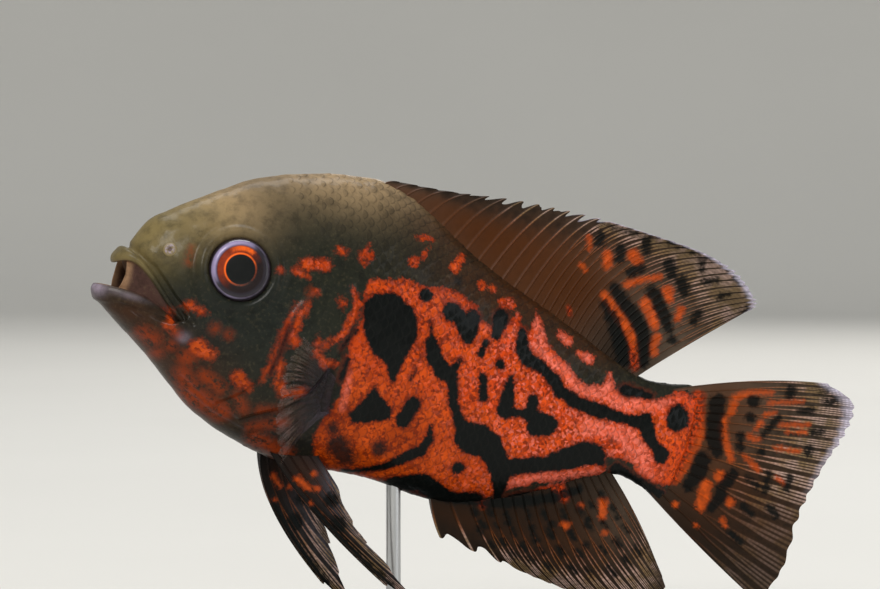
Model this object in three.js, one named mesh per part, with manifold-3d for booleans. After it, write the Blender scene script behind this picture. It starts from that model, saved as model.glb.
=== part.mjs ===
// Tiger oscar (Astronotus ocellatus), life size, swimming nose-up on a plain display stand.
// Units are millimetres, +Z is up, and the origin is the middle of the stand's underside.
//
// The fish is laid out straight: x runs from snout to tail, z to its back, and -y to its left flank.
// Its skin is one closed tube. The tube starts in the throat, comes out over the lips and runs back to the
// tail root. Thin cuts part it into head, jaw, gill covers, trunk and tail stem. At the end every piece is
// bent in one arc, pitched nose-up and set on the rod.
import * as THREE from "three";
import { mergeVertices } from "three/addons/utils/BufferGeometryUtils.js";
import Module from "manifold-3d";

const wasm = await Module();
wasm.setup();

// Pose
const PITCH = THREE.MathUtils.degToRad(16);
const BEND_RADIUS = 671;
const BEND_CENTRE_X = 88;
const ROD_ROOT = { x: 92.4, z: -34.5 };
const ROD_ROOT_HEIGHT = 52.5;

// Gap kept between neighbours
const GAP = 0.3;

// Skin sections from the throat to the tail root. top, side and bottom are [x, z]; half is the half width.
// back and keel sharpen the upper and lower edge, arch and bow lift the sides of the upper and lower lip, and
// soft rounds the ring where its upper and lower halves meet.
const LIP = { back: 0.75, keel: 0.85, soft: 0.05 };
const RINGS = [
  { top: [16.0, -1.4], side: [17.2, -2.4], bottom: [15.6, -3.6], half: 1.6, soft: 0.3 },
  { top: [12.5, 0.6], side: [18.6, -4.6], bottom: [11.0, -6.6], half: 5.2, arch: 0.2, bow: 0.6, soft: 0.2 },
  { top: [6.6, 1.8], side: [20.8, -7.0], bottom: [4.6, -6.6],
    half: 7.4, back: 0.8, arch: 0.8, bow: 1.4, soft: 0.1 },
  { top: [3.0, 2.2], side: [22.0, -7.9], bottom: [0.8, -4.4], half: 8.5, ...LIP, arch: 1.3, bow: 2.2 },
  { top: [1.6, 3.2], side: [22.5, -8.2], bottom: [-1.2, -2.7], half: 9.2, ...LIP, arch: 1.5, bow: 2.4 },
  { top: [1.1, 5.4], side: [23.1, -8.5], bottom: [-1.9, -4.3], half: 10.0, ...LIP, arch: 1.3, bow: 2.3 },
  { top: [2.4, 7.8], side: [24.6, -8.7], bottom: [-0.7, -6.6], half: 10.7, ...LIP, arch: 0.9, bow: 1.8 },
  { top: [4.5, 9.0], side: [26.4, -8.9], bottom: [1.1, -7.5],
    half: 10.7, back: 0.85, arch: 0.5, bow: 1.2, soft: 0.2 },
  { top: [6.0, 13.0], side: [29.4, -9.2], bottom: [4.3, -9.4],
    half: 12.2, back: 0.95, bow: 0.4, soft: 0.4 },
  { top: [8.6, 17.6], side: [33.4, -8.8], bottom: [9.4, -12.6], half: 13.4, soft: 0.6 },
  { top: [14.0, 22.1], side: [37.6, -7.6], bottom: [16.0, -16.6], half: 14.4, soft: 0.7 },
  { top: [22.0, 28.0], side: [41.8, -6.0], bottom: [23.6, -22.0], half: 15.2, soft: 0.7 },
  { top: [31.0, 34.3], side: [46.0, -4.4], bottom: [31.6, -27.6], half: 16.0, back: 1.05, soft: 0.7 },
  { top: [40.0, 38.4], side: [50.2, -2.8], bottom: [40.0, -31.2], half: 16.7, back: 1.1, soft: 0.7 },
  { top: [48.8, 41.3], side: [54.6, -1.4], bottom: [48.6, -33.6], half: 17.1, back: 1.15, soft: 0.6 },
  { top: [57.2, 43.3], side: [59.8, -0.4], bottom: [57.4, -35.2], half: 17.2, back: 1.2, soft: 0.5 },
  { top: [66.0, 44.3], side: [66.0, 0.4], bottom: [66.0, -34.9], half: 17.0, back: 1.3, soft: 0.4 },
  { top: [75.0, 42.8], side: [75.0, 0.8], bottom: [75.0, -34.1], half: 16.3, back: 1.4, soft: 0.4 },
  { top: [85.0, 38.4], side: [85.0, 0.8], bottom: [85.0, -33.6], half: 15.2, back: 1.4, soft: 0.4 },
  { top: [96.0, 32.6], side: [96.0, 0.6], bottom: [96.0, -34.5],
    half: 13.6, back: 1.35, keel: 1.05, soft: 0.4 },
  { top: [107.5, 28.0], side: [107.5, 0.2], bottom: [107.5, -34.5],
    half: 11.8, back: 1.3, keel: 1.2, soft: 0.4 },
  { top: [119.0, 24.1], side: [119.0, -0.2], bottom: [119.0, -31.1],
    half: 9.9, back: 1.25, keel: 1.3, soft: 0.4 },
  { top: [131.0, 19.8], side: [131.0, -0.7], bottom: [131.0, -25.6],
    half: 8.0, back: 1.2, keel: 1.3, soft: 0.4 },
  { top: [142.0, 15.4], side: [142.0, -1.0], bottom: [142.0, -18.8],
    half: 6.4, back: 1.1, keel: 1.2, soft: 0.4 },
  { top: [151.0, 12.5], side: [151.0, -1.1], bottom: [151.0, -14.8], half: 5.3, soft: 0.4 },
  { top: [158.5, 13.0], side: [158.5, -1.4], bottom: [158.5, -16.2], half: 4.3, soft: 0.4 },
  { top: [164.0, 14.2], side: [164.6, -1.8], bottom: [163.2, -18.4], half: 2.9, soft: 0.4 },
  { top: [167.0, 12.8], side: [168.0, -2.0], bottom: [165.4, -17.2], half: 1.4, soft: 0.4 },
];
const SKIN_ROWS = 46;
const SKIN_POINTS_ROUND = 32;

// Eye: a flattened ball set into a socket, with a fold of skin round it
const EYE = { x: 31.9, z: 10.2, radius: 9.9, depth: 4.9, sunk: 2.1, forward: 0.2, upward: 0.1 };
const ORBIT_FOLD = { radius: 10.5, thickness: 1.35 };
const NOSTRIL = { x: 13.5, z: 11.0, radius: 0.95, rim: 0.42, pit: 0.75 };

// Cut lines in side view, as [x, z]
const GILL_LINE = smoothLine([
  [30, -40], [41.6, -28.5], [48.1, -24.6], [55.0, -20.7], [59.7, -15.1], [62.6, -7.9],
  [64.4, -2.0], [65.8, 4.0], [65.6, 10.0], [62.6, 16.5], [59.4, 25.0], [57.0, 36.0], [56.0, 60.0],
], 2);
const GILL_COVER = [
  ...smoothLine([
    [44.4, -31.0], [41.6, -26.6], [41.6, -21.6], [44.6, -15.6], [46.2, -5.8], [47.2, 2.2], [50.0, 8.6],
    [54.6, 13.4], [60.4, 14.8], [67.4, 14.0],
  ], 2),
  [72, 8], [72, -8], [60, -24], [50, -30],
];
const GILL_COVER_RAISED = 0.7;
const GILL_COVER_THICK = 2.2;
const JAW = [
  [-20, 1.2], [3.0, 0.2], [12.0, -1.9], [19.0, -5.4], [22.8, -8.2],
  ...smoothLine([[27.0, -10.4], [31.2, -13.0], [31.6, -17.4], [28.4, -22.6], [24.0, -30.0]], 2),
  [20, -40.0], [-20, -40.0],
];
const STEM_CUT_X = 140;

// Fins. Each key ray has a root, a bend and a tip as [x, y, z]; the rays between follow from them.
const DORSAL = [
  { ray: 0, root: [65, 0, 41.3], bend: [67.6, 0, 45.3], tip: [70.9, 0, 45.4] },
  { ray: 3, root: [76, 0, 39.2], bend: [80.2, 0, 46.0], tip: [86.0, 0, 46.9] },
  { ray: 6, root: [89, 0, 33.2], bend: [94.3, 0, 45.2], tip: [100.7, 0, 49.2] },
  { ray: 9, root: [101, 0, 27.2], bend: [108.5, 0, 46.2], tip: [114.4, 0, 50.5] },
  { ray: 12, root: [112, 0, 23.2], bend: [120.0, 0, 48.0], tip: [127.6, 0, 51.2] },
  { ray: 15, root: [120, 0, 20.6], bend: [127.0, 0, 49.2], tip: [140.0, 0, 51.0] },
  { ray: 19, root: [128, 0, 17.6], bend: [134.5, 0, 46.8], tip: [156.8, 0, 50.2] },
  { ray: 23, root: [135, 0, 15.0], bend: [143.0, 0, 41.6], tip: [167.6, 0, 47.6] },
  { ray: 27, root: [140.5, 0, 13.0], bend: [150.0, 0, 35.4], tip: [174.6, 0, 42.8] },
  { ray: 30, root: [144.5, 0, 11.4], bend: [156.0, 0, 30.0], tip: [176.0, 0, 39.8] },
  { ray: 32, root: [147, 0, 10.4], bend: [160.5, 0, 25.0], tip: [173.4, 0, 37.4] },
];
const ANAL = [
  { ray: 0, root: [101.8, 0, -31.8], bend: [104.4, 0, -39.4], tip: [108.4, 0, -44.0] },
  { ray: 1, root: [106.6, 0, -31.4], bend: [112.8, 0, -40.0], tip: [118.3, 0, -45.2] },
  { ray: 2, root: [112, 0, -30.4], bend: [118.6, 0, -40.5], tip: [126.2, 0, -46.2] },
  { ray: 5, root: [121, 0, -27.4], bend: [128.0, 0, -42.5], tip: [141.0, 0, -48.2] },
  { ray: 9, root: [131, 0, -22.6], bend: [141.0, 0, -42.0], tip: [157.0, 0, -49.2] },
  { ray: 13, root: [139, 0, -18.0], bend: [152.0, 0, -36.0], tip: [170.5, 0, -46.6] },
  { ray: 16, root: [144, 0, -14.6], bend: [157.0, 0, -27.5], tip: [172.5, 0, -41.0] },
  { ray: 18, root: [146.5, 0, -12.4], bend: [157.5, 0, -21.0], tip: [167.0, 0, -33.5] },
];
const CAUDAL = [
  { ray: 0, root: [159, 0, 11.6], bend: [183.0, 0, 22.2], tip: [201.0, 0, 24.8] },
  { ray: 2, root: [160.5, 0, 9.0], bend: [188.0, 0, 18.6], tip: [209.2, 0, 21.4] },
  { ray: 5, root: [161.5, 0, 4.0], bend: [186.0, 0, 9.0], tip: [209.0, 0, 12.2] },
  { ray: 8, root: [161.5, 0, -1.6], bend: [184.0, 0, -0.2], tip: [205.6, 0, 1.4] },
  { ray: 11, root: [160.8, 0, -7.6], bend: [181.4, 0, -11.0], tip: [202.8, 0, -13.0] },
  { ray: 13, root: [159.8, 0, -12.0], bend: [179.0, 0, -20.4], tip: [202.6, 0, -27.0] },
  { ray: 15, root: [157.6, 0, -15.0], bend: [175.0, 0, -26.6], tip: [198.6, 0, -38.4] },
];
const PELVIC_LEFT = [
  { ray: 0, root: [55.0, -3.6, -32.4], bend: [66.2, -8.0, -45.4], tip: [95.0, -11.2, -59.6] },
  { ray: 1, root: [57.0, -4.2, -32.3], bend: [70.0, -9.0, -46.4], tip: [107.6, -12.0, -63.4] },
  { ray: 2, root: [60.0, -4.8, -32.1], bend: [73.4, -9.6, -44.6], tip: [93.6, -12.2, -54.2] },
  { ray: 3, root: [63.0, -5.4, -31.9], bend: [74.4, -9.8, -42.2], tip: [86.4, -11.8, -49.8] },
  { ray: 4, root: [66.0, -6.0, -31.6], bend: [74.2, -9.4, -38.8], tip: [80.8, -11.2, -45.2] },
  { ray: 5, root: [68.4, -6.6, -31.2], bend: [71.6, -8.2, -34.2], tip: [75.2, -9.8, -38.4] },
];
const PELVIC_RIGHT = [
  { ray: 0, root: [54.4, 3.6, -32.6], bend: [57.6, 7.0, -47.6], tip: [82.8, 9.4, -64.8] },
  { ray: 1, root: [56.6, 4.2, -32.5], bend: [60.8, 8.0, -48.8], tip: [94.0, 10.0, -69.4] },
  { ray: 2, root: [59.6, 4.8, -32.3], bend: [65.4, 9.0, -47.6], tip: [86.6, 11.2, -59.8] },
  { ray: 3, root: [62.8, 5.4, -32.0], bend: [69.0, 9.4, -44.6], tip: [82.4, 11.6, -53.4] },
  { ray: 4, root: [66.0, 6.0, -31.8], bend: [71.4, 9.2, -41.0], tip: [78.0, 11.4, -47.6] },
  { ray: 5, root: [69.0, 6.6, -31.4], bend: [71.6, 8.4, -36.0], tip: [73.8, 10.2, -40.6] },
];
const PECTORAL_LEFT = [
  { ray: 0, root: [65.6, -13.4, -11.0], bend: [55.0, -30.0, -4.6], tip: [46.6, -42.0, -1.8] },
  { ray: 4, root: [65.6, -13.4, -13.2], bend: [52.0, -34.0, -9.0], tip: [41.4, -52.4, -10.0] },
  { ray: 8, root: [65.6, -13.2, -15.8], bend: [53.0, -34.0, -17.4], tip: [42.4, -52.6, -23.6] },
  { ray: 12, root: [65.8, -12.8, -18.6], bend: [56.6, -27.4, -25.4], tip: [51.0, -39.0, -35.0] },
];
// The right one is swept a little further back.
const PECTORAL_RIGHT = PECTORAL_LEFT.map(({ ray, root, bend, tip }) => ({
  ray,
  root: [root[0], -root[1], root[2]],
  bend: [bend[0] + 3, -bend[1], bend[2]],
  tip: [tip[0] + 9, -tip[1] - 1, tip[2]],
}));
const FIN_ROOT_HALF = 0.75;
const FIN_EDGE_HALF = 0.27;
const SPINE_NOTCH = 0.16;
const RAY_RIDGE = 0.32;

// Stand
const BASE = { length: 124, width: 76, height: 10, chamfer: 1.5 };
const ROD = { radius: 2, flangeRadius: 6, flangeHeight: 2 };

// Shape helpers

function smoothLine(points, steps) {
  // A smooth line through [x, z] points.
  const knots = points.map(([x, z]) => new THREE.Vector3(x, z, 0));
  const curve = new THREE.CatmullRomCurve3(knots, false, "centripetal");
  return curve.getPoints((points.length - 1) * steps).map((p) => [p.x, p.y]);
}

function hermite(table, knots, at) {
  // A smooth curve through the rows of the table, with slopes from the neighbouring rows.
  const last = knots.length - 1;
  let i = knots.findIndex((k, n) => n < last && at <= knots[n + 1]);
  if (i < 0) i = last - 1;
  const slope = (n) => {
    const a = Math.max(n - 1, 0);
    const b = Math.min(n + 1, last);
    return table[b].map((v, c) => (v - table[a][c]) / (knots[b] - knots[a]));
  };
  const step = knots[i + 1] - knots[i];
  const t = (at - knots[i]) / step;
  const m0 = slope(i);
  const m1 = slope(i + 1);
  const h01 = t * t * (3 - 2 * t);
  const h10 = t * (1 - t) * (1 - t);
  const h11 = t * t * (t - 1);
  return table[i].map((v, c) => v * (1 - h01) + table[i + 1][c] * h01 + step * (m0[c] * h10 + m1[c] * h11));
}

const RING_ROWS = RINGS.map((r) => [
  ...r.top, ...r.side, ...r.bottom, r.half, r.back ?? 1, r.keel ?? 1, r.arch ?? 0, r.bow ?? 0, r.soft,
]);
const RING_KNOTS = RINGS.map((_, n) => n);

function softRamp(c, soft) {
  // Rises from 0 at c = -1 to 1 at c = 1, and stays near max(c, 0) where soft is small.
  return (c + Math.sqrt(c * c + soft * soft) + 1 - Math.sqrt(1 + soft * soft)) / 2;
}

function skinPoint(ring, angle) {
  // Angle 0 is the back, a half turn is the belly, and the first half turn is the left side.
  const [tx, tz, sx, sz, bx, bz, half, back, keel, arch, bow, soft] = hermite(RING_ROWS, RING_KNOTS, ring);
  const c = Math.cos(angle);
  const up = softRamp(c, soft);
  const down = softRamp(-c, soft);
  const sharp = c > 0 ? back : keel;
  const y = half * Math.pow(Math.abs(Math.sin(angle)), 1 + (sharp - 1) * c * c);
  return new THREE.Vector3(
    sx + (tx - sx) * up + (bx - sx) * down,
    angle < Math.PI ? -y : y,
    sz + (tz - sz) * up + (bz - sz) * down + arch * 4 * up * (1 - up) + bow * 4 * down * (1 - down),
  );
}

function closedTube(rows, round, point) {
  // A closed surface from a grid of points, with a pole at each end. point(row, turn) gives each vertex.
  const positions = [];
  const triangles = [];
  const ends = [new THREE.Vector3(), new THREE.Vector3()];
  for (let i = 0; i < rows; i++) {
    for (let j = 0; j < round; j++) {
      const p = point(i / (rows - 1), j / round);
      positions.push(p.x, p.y, p.z);
      if (i === 0) ends[0].addScaledVector(p, 1 / round);
      if (i === rows - 1) ends[1].addScaledVector(p, 1 / round);
    }
  }
  const poles = ends.map((e) => positions.push(e.x, e.y, e.z) / 3 - 1);
  for (let j = 0; j < round; j++) {
    const k = (j + 1) % round;
    triangles.push(poles[0], k, j, poles[1], (rows - 1) * round + j, (rows - 1) * round + k);
    for (let i = 0; i < rows - 1; i++) {
      const [a, b, c, d] = [i * round + j, i * round + k, (i + 1) * round + j, (i + 1) * round + k];
      triangles.push(a, b, d, a, d, c);
    }
  }
  const geometry = new THREE.BufferGeometry();
  geometry.setAttribute("position", new THREE.Float32BufferAttribute(positions, 3));
  geometry.setIndex(triangles);
  return geometry;
}

function solid(geometry) {
  const bare = new THREE.BufferGeometry();
  bare.setAttribute("position", geometry.getAttribute("position"));
  if (geometry.index) bare.setIndex(geometry.index);
  const merged = mergeVertices(bare, 1e-4);
  const made = new wasm.Manifold(
    new wasm.Mesh({
      numProp: 3,
      vertProperties: new Float32Array(merged.attributes.position.array),
      triVerts: new Uint32Array(merged.index.array),
    }),
  );
  if (made.volume() > 0) return made;
  const turned = new Uint32Array(merged.index.array);
  for (let i = 0; i < turned.length; i += 3) {
    [turned[i + 1], turned[i + 2]] = [turned[i + 2], turned[i + 1]];
  }
  return new wasm.Manifold(
    new wasm.Mesh({
      numProp: 3,
      vertProperties: new Float32Array(merged.attributes.position.array),
      triVerts: turned,
    }),
  );
}

function largest(shape) {
  return shape.decompose().reduce((a, b) => (b.volume() > a.volume() ? b : a));
}

function skinSolid(outward) {
  // The whole skin, moved outward along its normals.
  const geometry = closedTube(SKIN_ROWS, SKIN_POINTS_ROUND, (row, turn) =>
    skinPoint(row * (RINGS.length - 1), turn * 2 * Math.PI),
  );
  geometry.computeVertexNormals();
  const place = geometry.getAttribute("position");
  const normal = geometry.getAttribute("normal");
  const facing = facesOut(geometry) ? 1 : -1;
  for (let n = 0; n < place.count; n++) {
    place.setXYZ(
      n,
      place.getX(n) + facing * outward * normal.getX(n),
      place.getY(n) + facing * outward * normal.getY(n),
      place.getZ(n) + facing * outward * normal.getZ(n),
    );
  }
  return solid(geometry);
}

function facesOut(geometry) {
  // True where the signed volume of the triangles is positive.
  const p = geometry.getAttribute("position");
  const [a, b, c] = [new THREE.Vector3(), new THREE.Vector3(), new THREE.Vector3()];
  let volume = 0;
  for (let n = 0; n < geometry.index.count; n += 3) {
    a.fromBufferAttribute(p, geometry.index.getX(n));
    b.fromBufferAttribute(p, geometry.index.getX(n + 1));
    c.fromBufferAttribute(p, geometry.index.getX(n + 2));
    volume += a.dot(b.cross(c));
  }
  return volume > 0;
}

function grown(outline, by) {
  // An outline with each corner moved outward.
  const n = outline.length;
  const area = outline.reduce((s, [x, z], i) => {
    const [x2, z2] = outline[(i + 1) % n];
    return s + x * z2 - x2 * z;
  }, 0);
  const turn = area > 0 ? 1 : -1;
  return outline.map(([x, z], i) => {
    const [ax, az] = outline[(i + n - 1) % n];
    const [bx, bz] = outline[(i + 1) % n];
    const before = new THREE.Vector2(x - ax, z - az).normalize();
    const after = new THREE.Vector2(bx - x, bz - z).normalize();
    const out = new THREE.Vector2(before.y + after.y, -before.x - after.x)
      .normalize()
      .multiplyScalar(turn * by);
    const spread = Math.max(0.5, Math.sqrt((1 + before.dot(after)) / 2));
    return [x + out.x / spread, z + out.y / spread];
  });
}

function prism(outline, from = -60, to = 60) {
  // An outline in side view, carried straight through the fish from y = from to y = to.
  const shape = new THREE.Shape(outline.map(([x, z]) => new THREE.Vector2(x, z)));
  const geometry = new THREE.ExtrudeGeometry(shape, { depth: to - from, bevelEnabled: false });
  geometry.rotateX(Math.PI / 2);
  geometry.translate(0, to, 0);
  return solid(geometry);
}

function flank(x, z, left) {
  // The point of the skin at x, z in side view, with its outward normal.
  let best = { gap: Infinity };
  const look = (ring0, angle0, ringSpan, angleSpan) => {
    for (let i = -20; i <= 20; i++) {
      for (let j = -20; j <= 20; j++) {
        const ring = THREE.MathUtils.clamp(ring0 + (i / 20) * ringSpan, 8, RINGS.length - 1);
        const angle = THREE.MathUtils.clamp(angle0 + (j / 20) * angleSpan, 0.01, Math.PI - 0.01);
        const p = skinPoint(ring, angle);
        const gap = Math.hypot(p.x - x, p.z - z);
        if (gap < best.gap) best = { gap, ring, angle, p };
      }
    }
  };
  look((RINGS.length + 8) / 2, Math.PI / 2, (RINGS.length - 8) / 2, Math.PI / 2);
  for (const span of [1, 0.1, 0.01]) look(best.ring, best.angle, span, span * 0.2);
  const e = 0.02;
  const along = skinPoint(best.ring + e, best.angle).sub(skinPoint(best.ring - e, best.angle));
  const round = skinPoint(best.ring, best.angle + e).sub(skinPoint(best.ring, best.angle - e));
  const normal = along.cross(round).normalize();
  if (normal.y > 0) normal.negate();
  const point = best.p.clone();
  if (!left) {
    point.y *= -1;
    normal.y *= -1;
  }
  return { point, normal };
}

function turnTo(geometry, axis, at) {
  // Turns a shape made about +Z to stand on the axis, and moves it to a point.
  const turn = new THREE.Quaternion().setFromUnitVectors(new THREE.Vector3(0, 0, 1), axis);
  return geometry.applyQuaternion(turn).translate(at.x, at.y, at.z);
}

function eyeAxis(left) {
  return new THREE.Vector3(-EYE.forward, left ? -1 : 1, EYE.upward).normalize();
}

function eyeBall(left, extra) {
  const axis = eyeAxis(left);
  const at = flank(EYE.x, EYE.z, left).point.addScaledVector(axis, -EYE.sunk);
  const ball = new THREE.SphereGeometry(1, 24, 14).rotateX(Math.PI / 2);
  ball.scale(EYE.radius + extra, EYE.radius + extra, EYE.depth + extra);
  return solid(turnTo(ball, axis, at));
}

function orbitFold(left) {
  const { point, normal } = flank(EYE.x, EYE.z, left);
  const ring = new THREE.TorusGeometry(ORBIT_FOLD.radius, ORBIT_FOLD.thickness, 7, 28);
  const axis = eyeAxis(left).add(normal).normalize();
  return solid(turnTo(ring, axis, point.addScaledVector(axis, -0.5)));
}

function nostrilRim(left) {
  const { point, normal } = flank(NOSTRIL.x, NOSTRIL.z, left);
  return solid(turnTo(new THREE.TorusGeometry(NOSTRIL.radius, NOSTRIL.rim, 6, 12), normal, point));
}

function nostrilPit(left) {
  const { point, normal } = flank(NOSTRIL.x, NOSTRIL.z, left);
  return solid(turnTo(new THREE.SphereGeometry(NOSTRIL.pit, 8, 6).scale(1, 1, 1.6), normal, point));
}

function finRay(keys, ray, reach) {
  // A point of one ray: a quadratic curve from its root past its bend to its tip.
  const knots = keys.map((k) => k.ray);
  const [root, bend, tip] = ["root", "bend", "tip"].map((part) =>
    new THREE.Vector3(...hermite(keys.map((k) => k[part]), knots, ray)),
  );
  return new THREE.QuadraticBezierCurve3(root, bend, tip).getPoint(reach);
}

function finSolid(keys, { rows, wave = 0, spines = 0, notch = 0.03 }) {
  // A thin fan of rays. Every second column is a ray, raised from both faces of the membrane between them.
  // The membrane stops short of the tips, and more so between spines.
  const lastRay = keys[keys.length - 1].ray;
  const across = lastRay * 2;
  const faces = [[], []];
  for (let c = 0; c <= across; c++) {
    const ray = c / 2;
    const raised = c % 2 === 0;
    const short = ray < spines ? SPINE_NOTCH : notch;
    for (let r = 0; r <= rows; r++) {
      const reach = (r / rows) * (raised ? 1 : 1 - short);
      const e = 0.01;
      const p = finRay(keys, ray, reach);
      const over = finRay(keys, Math.min(ray + e, lastRay), reach)
        .sub(finRay(keys, Math.max(ray - e, 0), reach));
      const out = finRay(keys, ray, Math.min(reach + e, 1)).sub(finRay(keys, ray, Math.max(reach - e, 0)));
      const normal = over.cross(out).normalize();
      const half = THREE.MathUtils.lerp(FIN_ROOT_HALF, FIN_EDGE_HALF, Math.pow(reach, 0.6));
      const ridge = raised ? RAY_RIDGE * (1 - 0.7 * reach) : 0;
      p.y += wave * reach * reach * Math.sin(p.x / 9);
      faces[0].push(p.clone().addScaledVector(normal, half + ridge));
      faces[1].push(p.clone().addScaledVector(normal, -half - ridge));
    }
  }
  const points = [...faces[0], ...faces[1]];
  const side = faces[0].length;
  const id = (face, c, r) => face * side + c * (rows + 1) + r;
  const triangles = [];
  for (let c = 0; c < across; c++) {
    for (let r = 0; r < rows; r++) {
      const quad = (face) => [id(face, c, r), id(face, c + 1, r), id(face, c + 1, r + 1), id(face, c, r + 1)];
      const [a, b, d, f] = quad(0);
      const [a2, b2, d2, f2] = quad(1);
      triangles.push(a, b, d, a, d, f, a2, d2, b2, a2, f2, d2);
    }
  }
  const wall = (a, b, a2, b2) => triangles.push(a, a2, b2, a, b2, b);
  for (let c = 0; c < across; c++) {
    wall(id(0, c, 0), id(0, c + 1, 0), id(1, c, 0), id(1, c + 1, 0));
    wall(id(0, c + 1, rows), id(0, c, rows), id(1, c + 1, rows), id(1, c, rows));
  }
  for (let r = 0; r < rows; r++) {
    wall(id(0, 0, r + 1), id(0, 0, r), id(1, 0, r + 1), id(1, 0, r));
    wall(id(0, across, r), id(0, across, r + 1), id(1, across, r), id(1, across, r + 1));
  }
  const geometry = new THREE.BufferGeometry();
  const flat = points.flatMap((p) => [p.x, p.y, p.z]);
  geometry.setAttribute("position", new THREE.Float32BufferAttribute(flat, 3));
  geometry.setIndex(triangles);
  return solid(geometry);
}

// Pose helpers

function posed(p) {
  // The straight fish bent in an arc round a vertical axis, pitched nose-up, and set on the rod.
  const turn = (p.x - BEND_CENTRE_X) / BEND_RADIUS;
  const x = (BEND_RADIUS + p.y) * Math.sin(turn);
  const y = (BEND_RADIUS + p.y) * Math.cos(turn) - BEND_RADIUS;
  return new THREE.Vector3(
    x * Math.cos(PITCH) + p.z * Math.sin(PITCH),
    y,
    -x * Math.sin(PITCH) + p.z * Math.cos(PITCH),
  );
}

const rodRoot = posed(new THREE.Vector3(ROD_ROOT.x, 0, ROD_ROOT.z));

function poseSolid(shape) {
  return shape.warp((v) => {
    const p = posed(new THREE.Vector3(...v));
    v[0] = p.x - rodRoot.x;
    v[1] = p.y - rodRoot.y;
    v[2] = p.z - rodRoot.z + ROD_ROOT_HEIGHT;
  });
}

// Pieces of the fish, still straight

const skin = skinSolid(0);
const skinClear = skinSolid(GAP);
const headSide = [[-20, -40], ...GILL_LINE, [-20, 60]];
const behindHead = [[300, -40], ...GILL_LINE.map(([x, z]) => [x + 0.35, z - 0.25]), [300, 60]];
const stemSide = (x) => [[x, -80], [300, -80], [300, 80], [x, 80]];

function coverRegion(left, by) {
  const [from, to] = left ? [-60, -1] : [1, 60];
  return prism(grown(GILL_COVER, by), from, to);
}

function gillCover(left) {
  const plate = skinSolid(GILL_COVER_RAISED).subtract(skinSolid(-GILL_COVER_THICK));
  return largest(plate.intersect(coverRegion(left, 0)).intersect(prism(headSide)));
}

function headSolid() {
  let head = skin.intersect(prism(headSide)).subtract(prism(grown(JAW, GAP)));
  const core = skinSolid(-GILL_COVER_THICK - GAP);
  for (const left of [true, false]) {
    head = head.subtract(coverRegion(left, GAP).subtract(core));
    head = head.add(orbitFold(left)).add(nostrilRim(left));
    head = head.subtract(eyeBall(left, GAP)).subtract(nostrilPit(left));
  }
  return largest(head);
}

function finOnBody(keys, options) {
  return largest(finSolid(keys, options).subtract(skinClear));
}

function pectoral(keys, left) {
  // Its root is cut clear of the gill cover, which stands proud of the skin.
  const proud = skinSolid(GILL_COVER_RAISED + GAP).intersect(coverRegion(left, GAP));
  return largest(finOnBody(keys, { rows: 6 }).subtract(proud));
}

const SKIN_LOOK = { color: 0x4d4a33, roughness: 0.45, metalness: 0 };
const FIN_LOOK = { color: 0x3a2a1c, roughness: 0.5, metalness: 0 };
const CLEAR_FIN_LOOK = { color: 0x8a8390, roughness: 0.4, metalness: 0, transparent: true, opacity: 0.6 };
const EYE_LOOK = { color: 0x1a0d0a, roughness: 0.1, metalness: 0 };
const BASE_LOOK = { color: 0x17181a, roughness: 0.5, metalness: 0 };
const ROD_LOOK = { color: 0xb9bcc0, roughness: 0.3, metalness: 1 };

const fishPieces = {
  head: [headSolid(), SKIN_LOOK],
  lower_jaw: [largest(skin.intersect(prism(JAW))), SKIN_LOOK],
  gill_cover_left: [gillCover(true), SKIN_LOOK],
  gill_cover_right: [gillCover(false), SKIN_LOOK],
  trunk: [largest(skin.intersect(prism(behindHead)).subtract(prism(stemSide(STEM_CUT_X)))), SKIN_LOOK],
  tail_stem: [largest(skin.intersect(prism(stemSide(STEM_CUT_X + GAP)))), SKIN_LOOK],
  eye_left: [eyeBall(true, 0), EYE_LOOK],
  eye_right: [eyeBall(false, 0), EYE_LOOK],
  dorsal_fin: [finOnBody(DORSAL, { rows: 7, wave: 0.5, spines: 12.5 }), FIN_LOOK],
  anal_fin: [finOnBody(ANAL, { rows: 7, wave: 0.5, spines: 2.5 }), FIN_LOOK],
  tail_fin: [finOnBody(CAUDAL, { rows: 7, wave: 0.7, notch: 0.015 }), FIN_LOOK],
  pelvic_fin_left: [finOnBody(PELVIC_LEFT, { rows: 9, notch: 0.05 }), FIN_LOOK],
  pelvic_fin_right: [finOnBody(PELVIC_RIGHT, { rows: 9, notch: 0.05 }), FIN_LOOK],
  pectoral_fin_left: [pectoral(PECTORAL_LEFT, true), CLEAR_FIN_LOOK],
  pectoral_fin_right: [pectoral(PECTORAL_RIGHT, false), CLEAR_FIN_LOOK],
};

// Stand, in the part's own frame

function standBase() {
  const { length, width, height, chamfer } = BASE;
  const oval = new THREE.Shape().absellipse(0, 0, length / 2 - chamfer, width / 2 - chamfer, 0, 2 * Math.PI);
  const plate = new THREE.ExtrudeGeometry(oval, {
    depth: height - 2 * chamfer,
    bevelThickness: chamfer,
    bevelSize: chamfer,
    bevelSegments: 1,
    curveSegments: 36,
  });
  return solid(plate.translate(0, 0, chamfer));
}

function standRod(blocked) {
  const bottom = BASE.height + GAP;
  const top = ROD_ROOT_HEIGHT + 6;
  const { radius, flangeRadius, flangeHeight } = ROD;
  const profile = [
    [0, bottom], [flangeRadius, bottom], [flangeRadius, bottom + flangeHeight * 0.6],
    [flangeRadius - 1.5, bottom + flangeHeight], [radius, bottom + flangeHeight], [radius, top], [0, top],
  ].map(([r, z]) => new THREE.Vector2(r, z));
  const rod = new THREE.LatheGeometry(profile, 32).rotateX(Math.PI / 2);
  return largest(solid(rod).subtract(blocked));
}

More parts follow.
